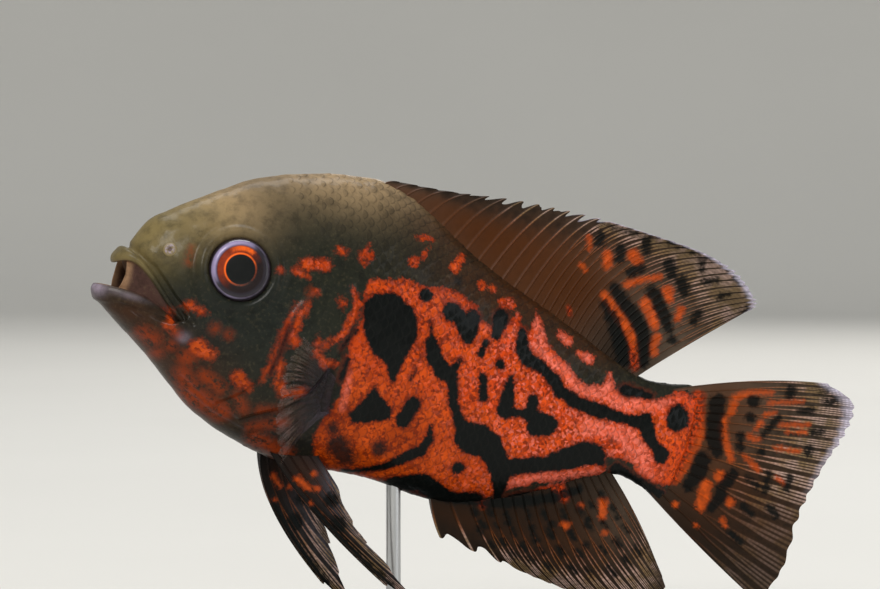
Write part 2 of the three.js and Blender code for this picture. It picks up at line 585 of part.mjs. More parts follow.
function node(name, shape, look) {
  const mesh = shape.getMesh();
  const geometry = new THREE.BufferGeometry();
  geometry.setAttribute("position", new THREE.BufferAttribute(new Float32Array(mesh.vertProperties), 3));
  geometry.setIndex(new THREE.BufferAttribute(new Uint32Array(mesh.triVerts), 1));
  geometry.computeVertexNormals();
  const made = new THREE.Mesh(geometry, new THREE.MeshStandardMaterial(look));
  made.name = name;
  return made;
}

const fish = new THREE.Group();
for (const [name, [shape, look]] of Object.entries(fishPieces)) {
  fish.add(node(name, poseSolid(shape), look));
}
const stand = new THREE.Group();
stand.add(node("stand_base", standBase(), BASE_LOOK));
stand.add(node("stand_rod", standRod(poseSolid(skinClear)), ROD_LOOK));

const part = new THREE.Group();
part.add(fish, stand);
export default part;
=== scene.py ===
"""Looks of the tiger oscar on its stand: skin, scales, eyes, fins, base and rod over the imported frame.

The fish is worked out straight, in millimetres: x runs from snout to tail, z to its back, and -y to its
left flank. place() then bends it, pitches it nose-up and sets it on the rod, in metres, in the frame's
own axes.
"""
import math

import bpy
import numpy as np
from bpy.props import FloatProperty, FloatVectorProperty, IntProperty, PointerProperty
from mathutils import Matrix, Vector


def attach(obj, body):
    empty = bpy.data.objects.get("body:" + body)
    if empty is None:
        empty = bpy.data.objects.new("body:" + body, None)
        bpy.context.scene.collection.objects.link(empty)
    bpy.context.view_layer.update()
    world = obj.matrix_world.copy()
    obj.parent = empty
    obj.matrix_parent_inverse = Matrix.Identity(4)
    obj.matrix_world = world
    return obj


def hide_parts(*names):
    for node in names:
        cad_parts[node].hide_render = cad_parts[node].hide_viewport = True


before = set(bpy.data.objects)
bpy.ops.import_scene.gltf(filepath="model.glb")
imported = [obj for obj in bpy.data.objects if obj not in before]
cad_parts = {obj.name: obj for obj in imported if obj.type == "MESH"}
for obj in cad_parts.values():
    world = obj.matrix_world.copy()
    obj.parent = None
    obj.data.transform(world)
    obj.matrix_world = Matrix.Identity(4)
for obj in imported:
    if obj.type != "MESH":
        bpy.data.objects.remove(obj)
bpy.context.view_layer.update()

bl_info = {
    "name": "Tiger oscar display model",
    "version": (1, 0, 0),
    "blender": (4, 5, 0),
    "location": "3D View > Sidebar > Tiger oscar",
    "description": "Builds the skin, scales, eyes, fins and stand of a life-size oscar fish",
    "category": "Object",
}

MM = 0.001

# Pose
PITCH = math.radians(16)
BEND_RADIUS = 671.0
BEND_CENTRE_X = 88.0
ROD_ROOT_X = 92.4
ROD_ROOT_Z = -34.5
ROD_ROOT_HEIGHT = 52.5

# Skin sections from the throat over the lips to the tail root: back x z, side x z, belly x z, half width,
# sharpness of back and keel, lift of the upper and lower lip, softness
SECTIONS = np.array([
    [16.0, -1.4, 17.2, -2.4, 15.6, -3.6, 1.6, 1, 1, 0, 0, 0.3],
    [12.5, 0.6, 18.6, -4.6, 11.0, -6.6, 5.2, 1, 1, 0.2, 0.6, 0.2],
    [6.6, 1.8, 20.8, -7.0, 4.6, -6.6, 7.4, 0.8, 1, 0.8, 1.4, 0.1],
    [3.0, 2.2, 22.0, -7.9, 0.8, -4.4, 8.5, 0.75, 0.85, 1.3, 2.2, 0.05],
    [1.6, 3.2, 22.5, -8.2, -1.2, -2.7, 9.2, 0.75, 0.85, 1.5, 2.4, 0.05],
    [1.1, 5.4, 23.1, -8.5, -1.9, -4.3, 10.0, 0.75, 0.85, 1.3, 2.3, 0.05],
    [2.4, 7.8, 24.6, -8.7, -0.7, -6.6, 10.7, 0.75, 0.85, 0.9, 1.8, 0.05],
    [4.5, 9.0, 26.4, -8.9, 1.1, -7.5, 10.7, 0.85, 1, 0.5, 1.2, 0.2],
    [6.0, 13.0, 29.4, -9.2, 4.3, -9.4, 12.2, 0.95, 1, 0, 0.4, 0.4],
    [8.6, 17.6, 33.4, -8.8, 9.4, -12.6, 13.4, 1, 1, 0, 0, 0.6],
    [14.0, 22.1, 37.6, -7.6, 16.0, -16.6, 14.4, 1, 1, 0, 0, 0.7],
    [22.0, 28.0, 41.8, -6.0, 23.6, -22.0, 15.2, 1, 1, 0, 0, 0.7],
    [31.0, 34.3, 46.0, -4.4, 31.6, -27.6, 16.0, 1.05, 1, 0, 0, 0.7],
    [40.0, 38.4, 50.2, -2.8, 40.0, -31.2, 16.7, 1.1, 1, 0, 0, 0.7],
    [48.8, 41.3, 54.6, -1.4, 48.6, -33.6, 17.1, 1.15, 1, 0, 0, 0.6],
    [57.2, 43.3, 59.8, -0.4, 57.4, -35.2, 17.2, 1.2, 1, 0, 0, 0.5],
    [66.0, 44.3, 66.0, 0.4, 66.0, -34.9, 17.0, 1.3, 1, 0, 0, 0.4],
    [75.0, 42.8, 75.0, 0.8, 75.0, -34.1, 16.3, 1.4, 1, 0, 0, 0.4],
    [85.0, 38.4, 85.0, 0.8, 85.0, -33.6, 15.2, 1.4, 1, 0, 0, 0.4],
    [96.0, 32.6, 96.0, 0.6, 96.0, -34.5, 13.6, 1.35, 1.05, 0, 0, 0.4],
    [107.5, 28.0, 107.5, 0.2, 107.5, -34.5, 11.8, 1.3, 1.2, 0, 0, 0.4],
    [119.0, 24.1, 119.0, -0.2, 119.0, -31.1, 9.9, 1.25, 1.3, 0, 0, 0.4],
    [131.0, 19.8, 131.0, -0.7, 131.0, -25.6, 8.0, 1.2, 1.3, 0, 0, 0.4],
    [142.0, 15.4, 142.0, -1.0, 142.0, -18.8, 6.4, 1.1, 1.2, 0, 0, 0.4],
    [151.0, 12.5, 151.0, -1.1, 151.0, -14.8, 5.3, 1, 1, 0, 0, 0.4],
    [158.5, 13.0, 158.5, -1.4, 158.5, -16.2, 4.3, 1, 1, 0, 0, 0.4],
    [164.0, 14.2, 164.6, -1.8, 163.2, -18.4, 2.9, 1, 1, 0, 0, 0.4],
    [167.0, 12.8, 168.0, -2.0, 165.4, -17.2, 1.4, 1, 1, 0, 0, 0.4],
])
LAST_SECTION = len(SECTIONS) - 1.0
# The number of the section on the lips' crest, and the lift in mm of the upper lip's middle
LIP_CREST = 5.0
LIP_PEAK = 3.0
# The open mouth's front edge: its x, half width, middle z and half height
GAPE_X, GAPE_HALF_WIDTH, GAPE_Z, GAPE_HALF_HEIGHT = 4.0, 5.6, 1.5, 5.2
SKIN_ROWS = 378
SKIN_ROUND = 256

# Head lines in side view, as [x, z] or [x, z, half width]
GILL_LINE = [
    [30, -40], [41.6, -28.5], [48.1, -24.6], [55, -20.7], [59.7, -15.1], [62.6, -7.9], [64.4, -2],
    [65.8, 4], [65.6, 10], [62.6, 16.5], [59.4, 25], [57, 36], [56, 60],
]
GILL_COVER = [
    [44.4, -31], [41.6, -26.6], [41.6, -21.6], [44.6, -15.6], [46.2, -5.8], [47.2, 2.2], [50, 8.6],
    [54.6, 13.4], [60.4, 14.8], [67.4, 14], [72, 8], [72, -8], [60, -24], [50, -30],
]
CHEEK_EDGE = [
    [49.4, 8, 0], [47.3, 3.8, 0], [47.2, -3, 0], [46.8, -8.5, 0], [46, -15.5, 0], [42.5, -20.5, 0],
    [37.5, -24.5, 0],
]
LIP_GROOVE = [
    [4.6, 8.9, 0], [6.3, 7.7, 0], [8.2, 6.5, 0.1], [10.6, 5, 0.2], [12.8, 3, 0.2], [15.2, 0.6, 0.3],
    [17.6, -1.9, 0.5], [20.8, -4.1, 0.5], [23.5, -5.9, 0.2],
]
CHIN_GROOVE = [[0.7, -6, 0], [7.9, -6.5, 0], [15, -9.3, 0], [19.1, -10.9, 0]]
CHEEK_FOLD = [[32.5, -13.9, 0], [36.3, -12.9, 0], [39, -10.3, 0], [41.7, -8.6, 0], [43.9, -6.7, 0]]
BROW = [[12, 16, 0], [20, 20.4, 0], [28, 22.6, 0], [37, 22, 0]]
THROAT_GROOVES = [
    [[26, -20.5, 0], [34, -24.6, 0], [43, -27.2, 0]], [[29, -24, 0], [37, -27.6, 0], [46, -29.8, 0]],
]
# Folds and grooves of the head: line, height, width, and how far the line is moved forward and down
FOLDS = [
    (CHEEK_EDGE, -0.4, 0.6, 0, 0), (CHEEK_EDGE, 0.22, 1.2, 1.6, 0), (LIP_GROOVE, -0.85, 0.75, 0, 0),
    (LIP_GROOVE, 0.4, 1.2, 1.4, 1.0), (CHIN_GROOVE, -0.4, 0.6, 0, 0), (CHEEK_FOLD, -0.3, 0.7, 0, 0),
    (BROW, 0.3, 2.2, 0, 0), *((line, -0.3, 0.55, 0, 0) for line in THROAT_GROOVES),
]
JAW_JOINT = (21.6, -10.6)
NOSTRIL = (13.3, 10.9)
# Profiles of [radius, height] from the middle out and back to the axis below
NOSTRIL_PROFILE = [
    [0, 0.0], [0.35, 0.02], [0.62, 0.12], [0.85, 0.42], [1.15, 0.46], [1.5, 0.2], [1.9, -0.25],
    [1.2, -0.7], [0, -0.8],
]
EYE_PROFILE = [
    [0, 2.1], [2.4, 2.0], [3.9, 1.85], [4.6, 1.72], [6.0, 1.62], [7.0, 1.6], [7.8, 1.0], [8.3, 0.1],
    [8.7, -1.2], [8.4, -2.2], [5.0, -2.8], [0, -3.0],
]
PECTORAL_ROOT = (66.6, -14.8)

# Scaled part of the body in side view, and the steps between columns and rows of scales
SCALE_COLUMN_STEP = 1.62
SCALE_ROW_STEP = 3.7
SCALED = [
    [38, 60], [40, 34], [45, 28.5], [52, 24], [58.5, 20.5], [62.5, 17.5], [65.4, 13.5], [67.2, 8.5],
    [67.3, 3], [66.2, -3], [64.6, -9], [61.6, -15.6], [57.2, -21.2], [51, -26], [46.5, -29.5], [44, -60],
    [172, -60], [172, 60],
]

# Markings of the flank in side view. A stroke is a line of [x, z, half width].
ORANGE_FIELD = [
    [66.8, 17.6], [70.4, 18.4], [73.6, 19.8], [76.9, 20.6], [79.2, 20], [82, 20.2], [86.2, 20.4],
    [89.5, 21.2], [92, 20.8], [95.5, 20], [99.5, 18], [100.6, 15.5], [104.6, 14.5], [108.6, 16.5],
    [110.6, 20], [112.6, 17.5], [115.6, 16.5], [116.6, 22.5], [118.6, 19.5], [121.7, 14.4], [124.7, 12],
    [128.8, 10.5], [131.8, 7.5], [134.8, 6.6], [138.8, 7.6], [140.8, 12.1], [143.3, 7.6], [146.8, 6.1],
    [150.8, 8.1], [153.8, 7.6], [157.9, 9.2], [161, 11.8], [167, 12], [171.4, 10], [172.2, 4], [171.4, -4],
    [169.6, -10], [166.8, -13.6], [163.5, -14.2], [159.1, -14], [156.1, -13], [152.7, -10.8],
    [149.9, -10.4], [146, -10.9], [147, -14.6], [146, -16], [143.8, -16.9], [140, -18.6], [135.9, -20.4],
    [130, -22.6], [125.4, -24.8], [121, -27.2], [118.5, -30], [104, -32.5], [88, -33], [76, -35.5],
    [67, -32], [64.5, -26], [65.4, -20], [67, -14], [67.3, -8], [66.2, -4], [65.6, 1], [67.2, 5], [67, 10],
    [66.2, 14],
]
ORANGE_STROKES = [
    [[78, 25.4, 1.7]], [[78.1, 32.1, 0.8], [82.2, 32.8, 0.8]], [[90.3, 27, 1.6], [92.2, 30.5, 1]],
    [[58, 22.6, 1.3]], [[63.3, 22.6, 1.2], [64.5, 26.5, 0.5]], [[99.2, 24.3, 1.5]], [[102.7, 24.3, 1.1]],
    [[106.2, 21.6, 1.5], [108.5, 21.8, 1.7]], [[111.4, 19.2, 1.2]],
    [[92, 19.2, 1.2], [94.2, 18.4, 1.6], [98, 17.5, 1.3]], [[42.5, 13.2, 1.1]],
    [[48, 16.5, 1.7], [53.7, 18.1, 1.9]], [[56.9, 22.9, 1.2]], [[53, 10.5, 0.9]], [[60.8, 9.4, 1.4]],
    [[62.3, 14.9, 0.5], [64.5, 11.4, 1.2], [64.9, 7.6, 1.3], [63.9, 3.7, 1.1], [62.4, 0.2, 1],
     [59.1, -2.2, 1.1]],
    [[57, -1.8, 1.2], [57.1, -4.5, 1.1], [60.5, -6.8, 1.3], [63.8, -6, 0.9]],
    [[49, 5.6, 0.5], [48.4, 3.1, 0.9], [47.1, -2.6, 0.8], [46.7, -7.7, 0.8], [46.2, -12.2, 0.8],
     [45.8, -15.7, 0.6]],
    [[51.9, 6.7, 0.8], [50.3, 2.9, 1.1], [50.1, -2.1, 1.2], [50.9, -3.4, 1.6]],
    [[48.7, -10, 1.2], [50, -14.6, 1.4], [52.7, -17.3, 1.4], [57.5, -15.1, 1.2]],
    [[26.6, -11.6, 2.4], [30.3, -12.5, 1.8]], [[21.6, -2.1, 1.4], [26, -2.8, 0.8]],
    [[39.4, -16.7, 2.3], [42.8, -18.2, 1.5]], [[17.4, -4.8, 1], [18.6, -7.4, 1.2]],
    [[19.4, -9.4, 0.9], [17.2, -8.8, 0.8]], [[46.2, 14.4, 0.9], [50.2, 13.8, 0.7]],
    [[64.5, 21.5, 1], [66, 24, 0.7]], [[80.5, 27.5, 0.7], [81.5, 30, 0.6]],
]
RUST_STROKES = [
    [[12.7, -11.8, 1.8], [16.1, -13, 2]], [[25.8, -19.2, 2.2], [30.6, -24.1, 2.8], [39.1, -26.5, 2.8]],
    [[47.5, -28.4, 1.2], [55.3, -24.9, 1.5]], [[48, -23.2, 1.3], [52.8, -21.6, 1]],
    [[17.5, -8.7, 1], [20.8, -10, 1]], [[18.5, 12.9, 0.5], [18.5, 8.9, 0.7]], [[29.5, -5.8, 1.4]],
    [[25.3, -15.1, 2.5]], [[18.3, -16.1, 1.6]], [[31, -18.5, 2], [36, -20.5, 1.8]],
    [[50, -31, 2.2], [60, -33, 2]], [[20.5, -13.2, 1.6]], [[41, -21.5, 1.6], [44, -24, 1.4]],
    [[33.5, -6.5, 1.2]], [[52, 10, 1.4]],
]
BLACK_PATCHES = [
    [[67.4, 12.6], [69.2, 14.6], [71.8, 14.9], [73.8, 16], [76, 15.5], [78.2, 14.4], [80.6, 13.6],
     [82.4, 11.6], [83.4, 8.6], [84.2, 5.4], [83.2, 3], [82.4, 0.2], [81.6, -2.8], [81.4, -5.6],
     [80.5, -7.5], [79, -5.2], [77.8, -2.8], [75.5, -2], [73.2, -1.1], [70.7, 1.6], [68.6, 4.6],
     [67.2, 8.4], [66.9, 11]],
    [[75.8, -8.9], [78.9, -11.7], [83.2, -13.6], [82.9, -16.6], [78, -18.7], [73.5, -20.1], [71.5, -18.3],
     [73.6, -14.4], [75.2, -11.3]],
]
BLACK_STROKES = [
    [[87, -15.6, 2.3], [88.2, -11.2, 2.1]], [[86.1, -2.1, 0.6], [85.4, -5, 0.5]],
    [[86.2, 11.6, 0.5], [87.6, 8.6, 0.5], [88.3, 5.8, 1.6]],
    [[88.3, 5.8, 1.9], [90.2, 2.4, 2.1], [93.8, -0.6, 2.3], [96.4, -1.2, 1.9], [97.8, -4, 1.5],
     [99.2, -8.2, 1.4], [101.8, -11.6, 1.5], [104.6, -14.4, 2.4]],
    [[96.2, 0.1, 1.4], [97.6, 3.4, 0.8]], [[106, -15.4, 3.9], [109.4, -15.1, 3.9], [113.8, -15.6, 2.5]],
    [[105.8, -18.6, 1.4], [109, -18, 2.4]],
    [[111.5, -16, 3.2], [115.6, -19, 3.4], [118.4, -22.4, 3.1], [119.8, -26.4, 1.8], [120.4, -29.5, 1.2]],
    [[118.4, -21.4, 2.9], [124.9, -18.9, 2.2], [130.3, -17, 2.3], [135.2, -14.3, 3.3], [139.4, -11.7, 3.5],
     [142.8, -11.2, 2.8], [144.9, -12.7, 1.5]],
    [[105.2, 0.8, 1.1], [107, -4.2, 1.4]], [[103.8, 9.8, 1.1], [103, 7, 1.1]], [[109, 5.4, 1.5]],
    [[94.9, -15.2, 0.4], [95.8, -18.8, 1.1], [94.6, -22.4, 1.7], [91.6, -25, 1.5], [88, -28.2, 1.1],
     [83.4, -31, 0.8], [77, -33.2, 0.6]],
    [[162.7, 4, 3.2], [162.5, 5.4, 2.9]],
    [[124, -28.8, 1.2], [131, -25.6, 1.3], [137.4, -23.6, 0.7], [144, -19.6, 0.8]],
    [[113.2, 2.6, 1], [113.5, -1.8, 1.9], [114.2, -6, 2.4]],
    [[114.2, -6, 1.6], [117.2, -6, 1.2], [120.1, -5.4, 1.4]],
    [[121, -1.2, 1.4], [121.6, -5.4, 2], [127, -7, 3], [123.8, -8.1, 2.6]],
    [[106.4, 17.6, 2.3], [106, 13, 1.6]], [[98.1, 15, 2.6], [98.5, 9.5, 1.6]], [[83.5, 17.8, 1.8]],
    [[91.7, 15.4, 2.6], [94.5, 14.8, 2.2], [97.4, 10.6, 1.8]],
    [[113.5, 15.4, 1.4], [114.3, 10.8, 2], [116.6, 8.8, 2.2], [121.8, 7.3, 1.6], [125.3, 5.3, 1.8],
     [127.9, 2.9, 1.9], [132.8, 1.2, 1.9], [137.6, 0.6, 2], [142.2, 0.6, 1.9], [147.1, 0.2, 1.3],
     [150.8, 0.5, 1.6], [153.8, 1.3, 2.2], [155.6, -2, 2], [158.7, -4.8, 1.5], [161, -6.2, 2.1],
     [160.9, -7.4, 1.6]],
    [[146, 7.9, 1.6], [153.7, 8.3, 0.9]], [[150.1, -13.5, 1.8], [155.3, -14.9, 1.6], [163.9, -17.3, 1.6]],
    [[90.8, -32.9, 2], [98.8, -30.7, 2.6], [106.5, -33.5, 2.4], [114.6, -31.5, 2.2]], [[106.2, -24.4, 1.7]],
    [[66.7, -4.5, 0.8], [66.2, -9.5, 0.9]], [[66.6, 3.5, 0.5], [64.1, -1.5, 0.7]],
    [[48.4, 0.2, 0.1], [48, -7.3, 0.3], [47.2, -13.5, 0.2]],
]
GREY_STROKES = [
    [[83.2, -24.8, 2.6]], [[71.5, -26.8, 3.2], [76, -29.8, 2.6]], [[92, 23.5, 1.6]], [[146.2, -6.4, 1]],
    [[68.9, -23, 2]],
]
# Painted sheen: pink strokes along the tail and round its spot, kept like the markings as [x, z, half
# width]
PINK_SHEEN_STROKES = [
    [[117.3, 12.4, 1.4], [123.2, 9.9, 1.7], [128.6, 8.4, 2], [132.7, 5.4, 2.4], [136.7, 5, 2.1],
     [141.7, 6.7, 2.4], [146.5, 3.6, 2.2], [150.3, 5.7, 2], [155.2, 5.7, 1.8], [158.6, 8.3, 1.6],
     [162.8, 11.1, 1.2], [167.8, 9.2, 1.6], [169, 4.3, 1.5], [168.5, -0.3, 1.7], [168, -6.2, 1.8],
     [167.6, -11.3, 1.4], [162.9, -12.9, 2], [157.4, -10.8, 2.6], [153.4, -7.2, 3], [150.1, -3.9, 2.6],
     [145.3, -3.8, 2], [138.3, -4.3, 2.4]],
    [[141.7, 6.7, 1.6], [141, 11.1, 1.2]], [[115.1, 21.8, 1], [117.3, 18.8, 1.6], [119.3, 16.4, 2]],
    [[124.5, 17.7, 1.4], [126.9, 16.5, 1.7]], [[130.5, 14.1, 1], [134, 13.6, 1.9]],
    [[122, -25.8, 2], [129.7, -20.9, 2.2], [137.9, -19.8, 2.2], [144.7, -16.6, 1.8]],
    [[68, -8, 0.9], [68.6, -13, 1.1], [69.2, -17, 0.8]],
]
EDGE_DABS = [
    [[124.5, 17.7, 1.2], [126.9, 16.5, 1.5]], [[130.5, 14.1, 0.9], [134, 13.6, 1.7]],
    [[130, -24.5, 0.6], [138.4, -21.4, 1.2], [138.6, -24.2, 1.4]],
]

# Ground colours of the skin under the markings: soft patches of x, z, width, height, colour and strength.
# The olive patches on the nape and forehead are the olive back, paler with painted light from above.
SKIN_PATCHES = [
    (48, 44, 34, 10.5, "olive", 1.0), (23, 27, 13, 10, "olive", 1.0), (70, 45, 16, 7, "olive", 0.6),
    (8, 14, 9, 9, "snout", 0.9), (4, 4, 6, 5, "snout", 0.8), (18, 22, 12, 9, "snout", 0.6),
    (28, -6, 12, 12, "cheek", 0.8), (44, 2, 10, 14, "cheek", 0.7), (56, 18, 10, 8, "dusk", 0.6),
    (8, -8, 11, 5, "jaw", 0.85), (22, -17, 14, 7, "jaw", 0.8), (38, -27, 16, 6, "jaw", 0.7),
    (58, -30, 12, 8, "belly", 0.9), (110, 24, 26, 7, "brown", 0.85), (88, 36, 16, 8, "brown", 0.7),
    (132, 16, 18, 6, "brown", 0.6), (74, 28, 12, 9, "dusk", 0.5), (104, -33, 26, 4, "belly", 0.9),
    (60, -14, 6, 9, "belly", 0.8), (150, 12, 8, 4, "dusk", 0.8), (-1.2, -3.6, 1.8, 2.2, "lip_tip", 0.8),
    (22.4, -10.2, 1.5, 1.3, "lip_tip", 0.55), (6, -3.6, 5, 0.9, "lip_tip", 0.3),
]

# Fins: key rays of ray number, then root, bend and tip, each x, y, z
DORSAL = np.array([
    [0, 65, 0, 41.3, 67.6, 0, 45.3, 70.9, 0, 45.4],
    [3, 76, 0, 39.2, 80.2, 0, 46.0, 86.0, 0, 46.9],
    [6, 89, 0, 33.2, 94.3, 0, 45.2, 100.7, 0, 49.2],
    [9, 101, 0, 27.2, 108.5, 0, 46.2, 114.4, 0, 50.5],
    [12, 112, 0, 23.2, 120.0, 0, 48.0, 127.6, 0, 51.2],
    [15, 120, 0, 20.6, 127.0, 0, 49.2, 140.0, 0, 51.0],
    [19, 128, 0, 17.6, 134.5, 0, 46.8, 156.8, 0, 50.2],
    [23, 135, 0, 15.0, 143.0, 0, 41.6, 167.6, 0, 47.6],
    [27, 140.5, 0, 13.0, 150.0, 0, 35.4, 174.6, 0, 42.8],
    [30, 144.5, 0, 11.4, 156.0, 0, 30.0, 176.0, 0, 39.8],
    [32, 147, 0, 10.4, 160.5, 0, 25.0, 173.4, 0, 37.4],
])
ANAL = np.array([
    [0, 101.8, 0, -31.8, 104.4, 0, -39.4, 108.4, 0, -44.0],
    [1, 106.6, 0, -31.4, 112.8, 0, -40.0, 118.3, 0, -45.2],
    [2, 112, 0, -30.4, 118.6, 0, -40.5, 126.2, 0, -46.2],
    [5, 121, 0, -27.4, 128.0, 0, -42.5, 141.0, 0, -48.2],
    [9, 131, 0, -22.6, 141.0, 0, -42.0, 157.0, 0, -49.2],
    [13, 139, 0, -18.0, 152.0, 0, -36.0, 170.5, 0, -46.6],
    [16, 144, 0, -14.6, 157.0, 0, -27.5, 172.5, 0, -41.0],
    [18, 146.5, 0, -12.4, 157.5, 0, -21.0, 167.0, 0, -33.5],
])
CAUDAL = np.array([
    [0, 159, 0, 11.6, 183.0, 0, 22.2, 201.0, 0, 24.8],
    [2, 160.5, 0, 9.0, 188.0, 0, 18.6, 209.2, 0, 21.4],
    [5, 161.5, 0, 4.0, 186.0, 0, 9.0, 209.0, 0, 12.2],
    [8, 161.5, 0, -1.6, 184.0, 0, -0.2, 205.6, 0, 1.4],
    [11, 160.8, 0, -7.6, 181.4, 0, -11.0, 202.8, 0, -13.0],
    [13, 159.8, 0, -12.0, 179.0, 0, -20.4, 202.6, 0, -27.0],
    [15, 157.6, 0, -15.0, 175.0, 0, -26.6, 198.6, 0, -38.4],
])
PELVIC_LEFT = np.array([
    [0, 55.0, -3.6, -32.4, 66.2, -8.0, -45.4, 95.0, -11.2, -59.6],
    [1, 57.0, -4.2, -32.3, 70.0, -9.0, -46.4, 107.6, -12.0, -63.4],
    [2, 60.0, -4.8, -32.1, 73.4, -9.6, -44.6, 93.6, -12.2, -54.2],
    [3, 63.0, -5.4, -31.9, 74.4, -9.8, -42.2, 86.4, -11.8, -49.8],
    [4, 66.0, -6.0, -31.6, 74.2, -9.4, -38.8, 80.8, -11.2, -45.2],
    [5, 68.4, -6.6, -31.2, 71.6, -8.2, -34.2, 75.2, -9.8, -38.4],
])
PELVIC_RIGHT = np.array([
    [0, 54.4, 3.6, -32.6, 57.6, 7.0, -47.6, 82.8, 9.4, -64.8],
    [1, 56.6, 4.2, -32.5, 60.8, 8.0, -48.8, 94.0, 10.0, -69.4],
    [2, 59.6, 4.8, -32.3, 65.4, 9.0, -47.6, 86.6, 11.2, -59.8],
    [3, 62.8, 5.4, -32.0, 69.0, 9.4, -44.6, 82.4, 11.6, -53.4],
    [4, 66.0, 6.0, -31.8, 71.4, 9.2, -41.0, 78.0, 11.4, -47.6],
    [5, 69.0, 6.6, -31.4, 71.6, 8.4, -36.0, 73.8, 10.2, -40.6],
])
PECTORAL_LEFT = np.array([
    [0, 65.6, -13.4, -11.0, 55.0, -30.0, -4.6, 46.6, -42.0, -1.8],
    [4, 65.6, -13.4, -13.2, 52.0, -34.0, -9.0, 41.4, -52.4, -10.0],
    [8, 65.6, -13.2, -15.8, 53.0, -34.0, -17.4, 42.4, -52.6, -23.6],
    [12, 65.8, -12.8, -18.6, 56.6, -27.4, -25.4, 51.0, -39.0, -35.0],
])
# The right pectoral fin is the left one mirrored, with its bends and tips swept back
PECTORAL_RIGHT = PECTORAL_LEFT * [1, 1, -1, 1, 1, -1, 1, 1, -1, 1] + [0, 0, 0, 0, 3, 0, 0, 9, -1, 0]

# Markings of the fins: strokes of [ray, reach, half width in mm]
DORSAL_ORANGE = [
    [[19.7, 0.28, 1.1], [21.6, 0.26, 1.5], [23.9, 0.24, 1.6], [26.4, 0.22, 1.6], [28.3, 0.18, 1.4],
     [30.2, 0.11, 1.4]],
    [[16.3, 0.51, 1.3], [17.3, 0.44, 1.3]], [[18.1, 0.6, 1.8], [18.9, 0.58, 1.4]],
    [[20.6, 0.41, 0.9], [21.2, 0.5, 0.8], [21.9, 0.59, 0.7]],
    [[24, 0.41, 1.8], [26.1, 0.39, 1.6], [27.3, 0.37, 1.4]],
    [[28.9, 0.34, 1.3], [29.4, 0.29, 1.3], [30.3, 0.26, 1.3]], [[23.9, 0.56, 1.6], [25, 0.54, 1.4]],
    [[27, 0.56, 1.1], [28, 0.51, 0.9]], [[13.3, 0.61, 0.7], [14.5, 0.49, 0.5]],
    [[16.9, 0.11, 0.7], [17.4, 0.09, 0.7]], [[15.1, 0.36, 0.7], [15.9, 0.33, 0.5]],
]
DORSAL_BLACK = [
    [[19.8, 0.35, 1.4], [22.2, 0.32, 2.1], [24.8, 0.31, 2], [27.4, 0.28, 2.1], [29.3, 0.22, 2.1],
     [30.8, 0.17, 1.4]],
    [[20.4, 0.24, 1.1], [23.1, 0.2, 2], [26.1, 0.14, 2], [28.5, 0.08, 1.8]],
    [[23, 0.49, 1.8], [25, 0.47, 2], [27.3, 0.45, 1.7], [28.7, 0.42, 1.4]],
    [[14.1, 0.65, 1.5], [14.6, 0.58, 1.4]], [[16.7, 0.6, 1.4], [17.6, 0.52, 1.3]],
    [[16.8, 0.8, 1.5], [18.1, 0.7, 1.3]], [[19.7, 0.49, 1.5], [20, 0.55, 1.3]],
    [[20.7, 0.7, 1.7], [22.2, 0.66, 1.6]], [[23.4, 0.67, 1.7], [24.9, 0.64, 1.6]],
    [[20.6, 0.91, 1], [22.4, 0.83, 1]], [[24.3, 0.78, 0.9], [24.3, 0.85, 0.9]],
    [[26.8, 0.81, 0.9], [26.7, 0.86, 0.8]], [[28.4, 0.64, 1.2], [29.3, 0.59, 1.2]],
    [[30.1, 0.41, 1.3], [30.8, 0.42, 0.9]], [[12.4, 0.9, 0.5], [13.3, 0.88, 0.5]],
    [[13.8, 0.84, 0.6], [14.3, 0.86, 0.5]], [[14.9, 0.85, 0.6], [15.3, 0.89, 0.6]],
    [[16, 0.92, 0.6], [16.2, 0.98, 0.6]], [[17.3, 0.93, 0.7], [17.5, 0.96, 0.7]],
    [[18.2, 0.92, 0.7], [18.4, 0.97, 0.7]], [[19.3, 0.93, 0.7], [19.6, 0.95, 0.7]],
    [[20.7, 0.92, 0.7], [20.8, 0.97, 0.7]], [[21.5, 0.98, 0.7], [21.7, 1, 0.7]],
    [[22.7, 0.96, 0.7], [22.7, 1, 0.7]], [[24.1, 0.97, 1.2], [24.9, 0.97, 1.1]],
    [[26, 0.98, 0.8], [27.2, 0.97, 0.7]], [[29.8, 0.94, 0.9], [30.7, 0.93, 0.9]],
]
CAUDAL_ORANGE = [
    [[1.9, 0.12, 2.1], [3.4, 0.12, 2.2], [5.2, 0.14, 2.3], [7, 0.17, 2.2], [8.9, 0.16, 2],
     [10.7, 0.17, 1.8], [12.1, 0.16, 1.3]],
    [[2.1, 0.31, 1], [1.5, 0.39, 0.8], [1.4, 0.52, 0.6]], [[2.8, 0.31, 1.1], [3.9, 0.31, 1]],
    [[4.6, 0.29, 1], [5.6, 0.3, 1], [7.2, 0.35, 1.1], [8.6, 0.43, 1]], [[10.3, 0.42, 1.6]],
    [[11.3, 0.36, 1.6], [12.1, 0.38, 1.8], [12.6, 0.39, 1.6]], [[11.6, 0.55, 1.3]],
    [[6.2, 0.47, 0.8], [6.4, 0.53, 0.8]], [[2.6, 0.5, 0.6], [2.3, 0.68, 0.5]],
    [[3.8, 0.5, 0.6], [3.6, 0.55, 0.6]], [[4.7, 0.5, 0.8], [5.4, 0.49, 0.6]],
    [[4.7, 0.61, 0.5], [4.4, 0.77, 0.5]], [[5.3, 0.67, 0.5], [5.1, 0.78, 0.5]],
    [[6.9, 0.65, 0.5], [6.9, 0.8, 0.5]], [[8.2, 0.51, 0.6], [8.9, 0.62, 0.8]],
    [[12.6, 0.55, 0.6], [12.8, 0.58, 0.6]], [[9.2, 0.76, 0.6], [9.4, 0.82, 0.5]], [[13.8, 0.26, 0.9]],
    [[14, 0.44, 0.6]],
]
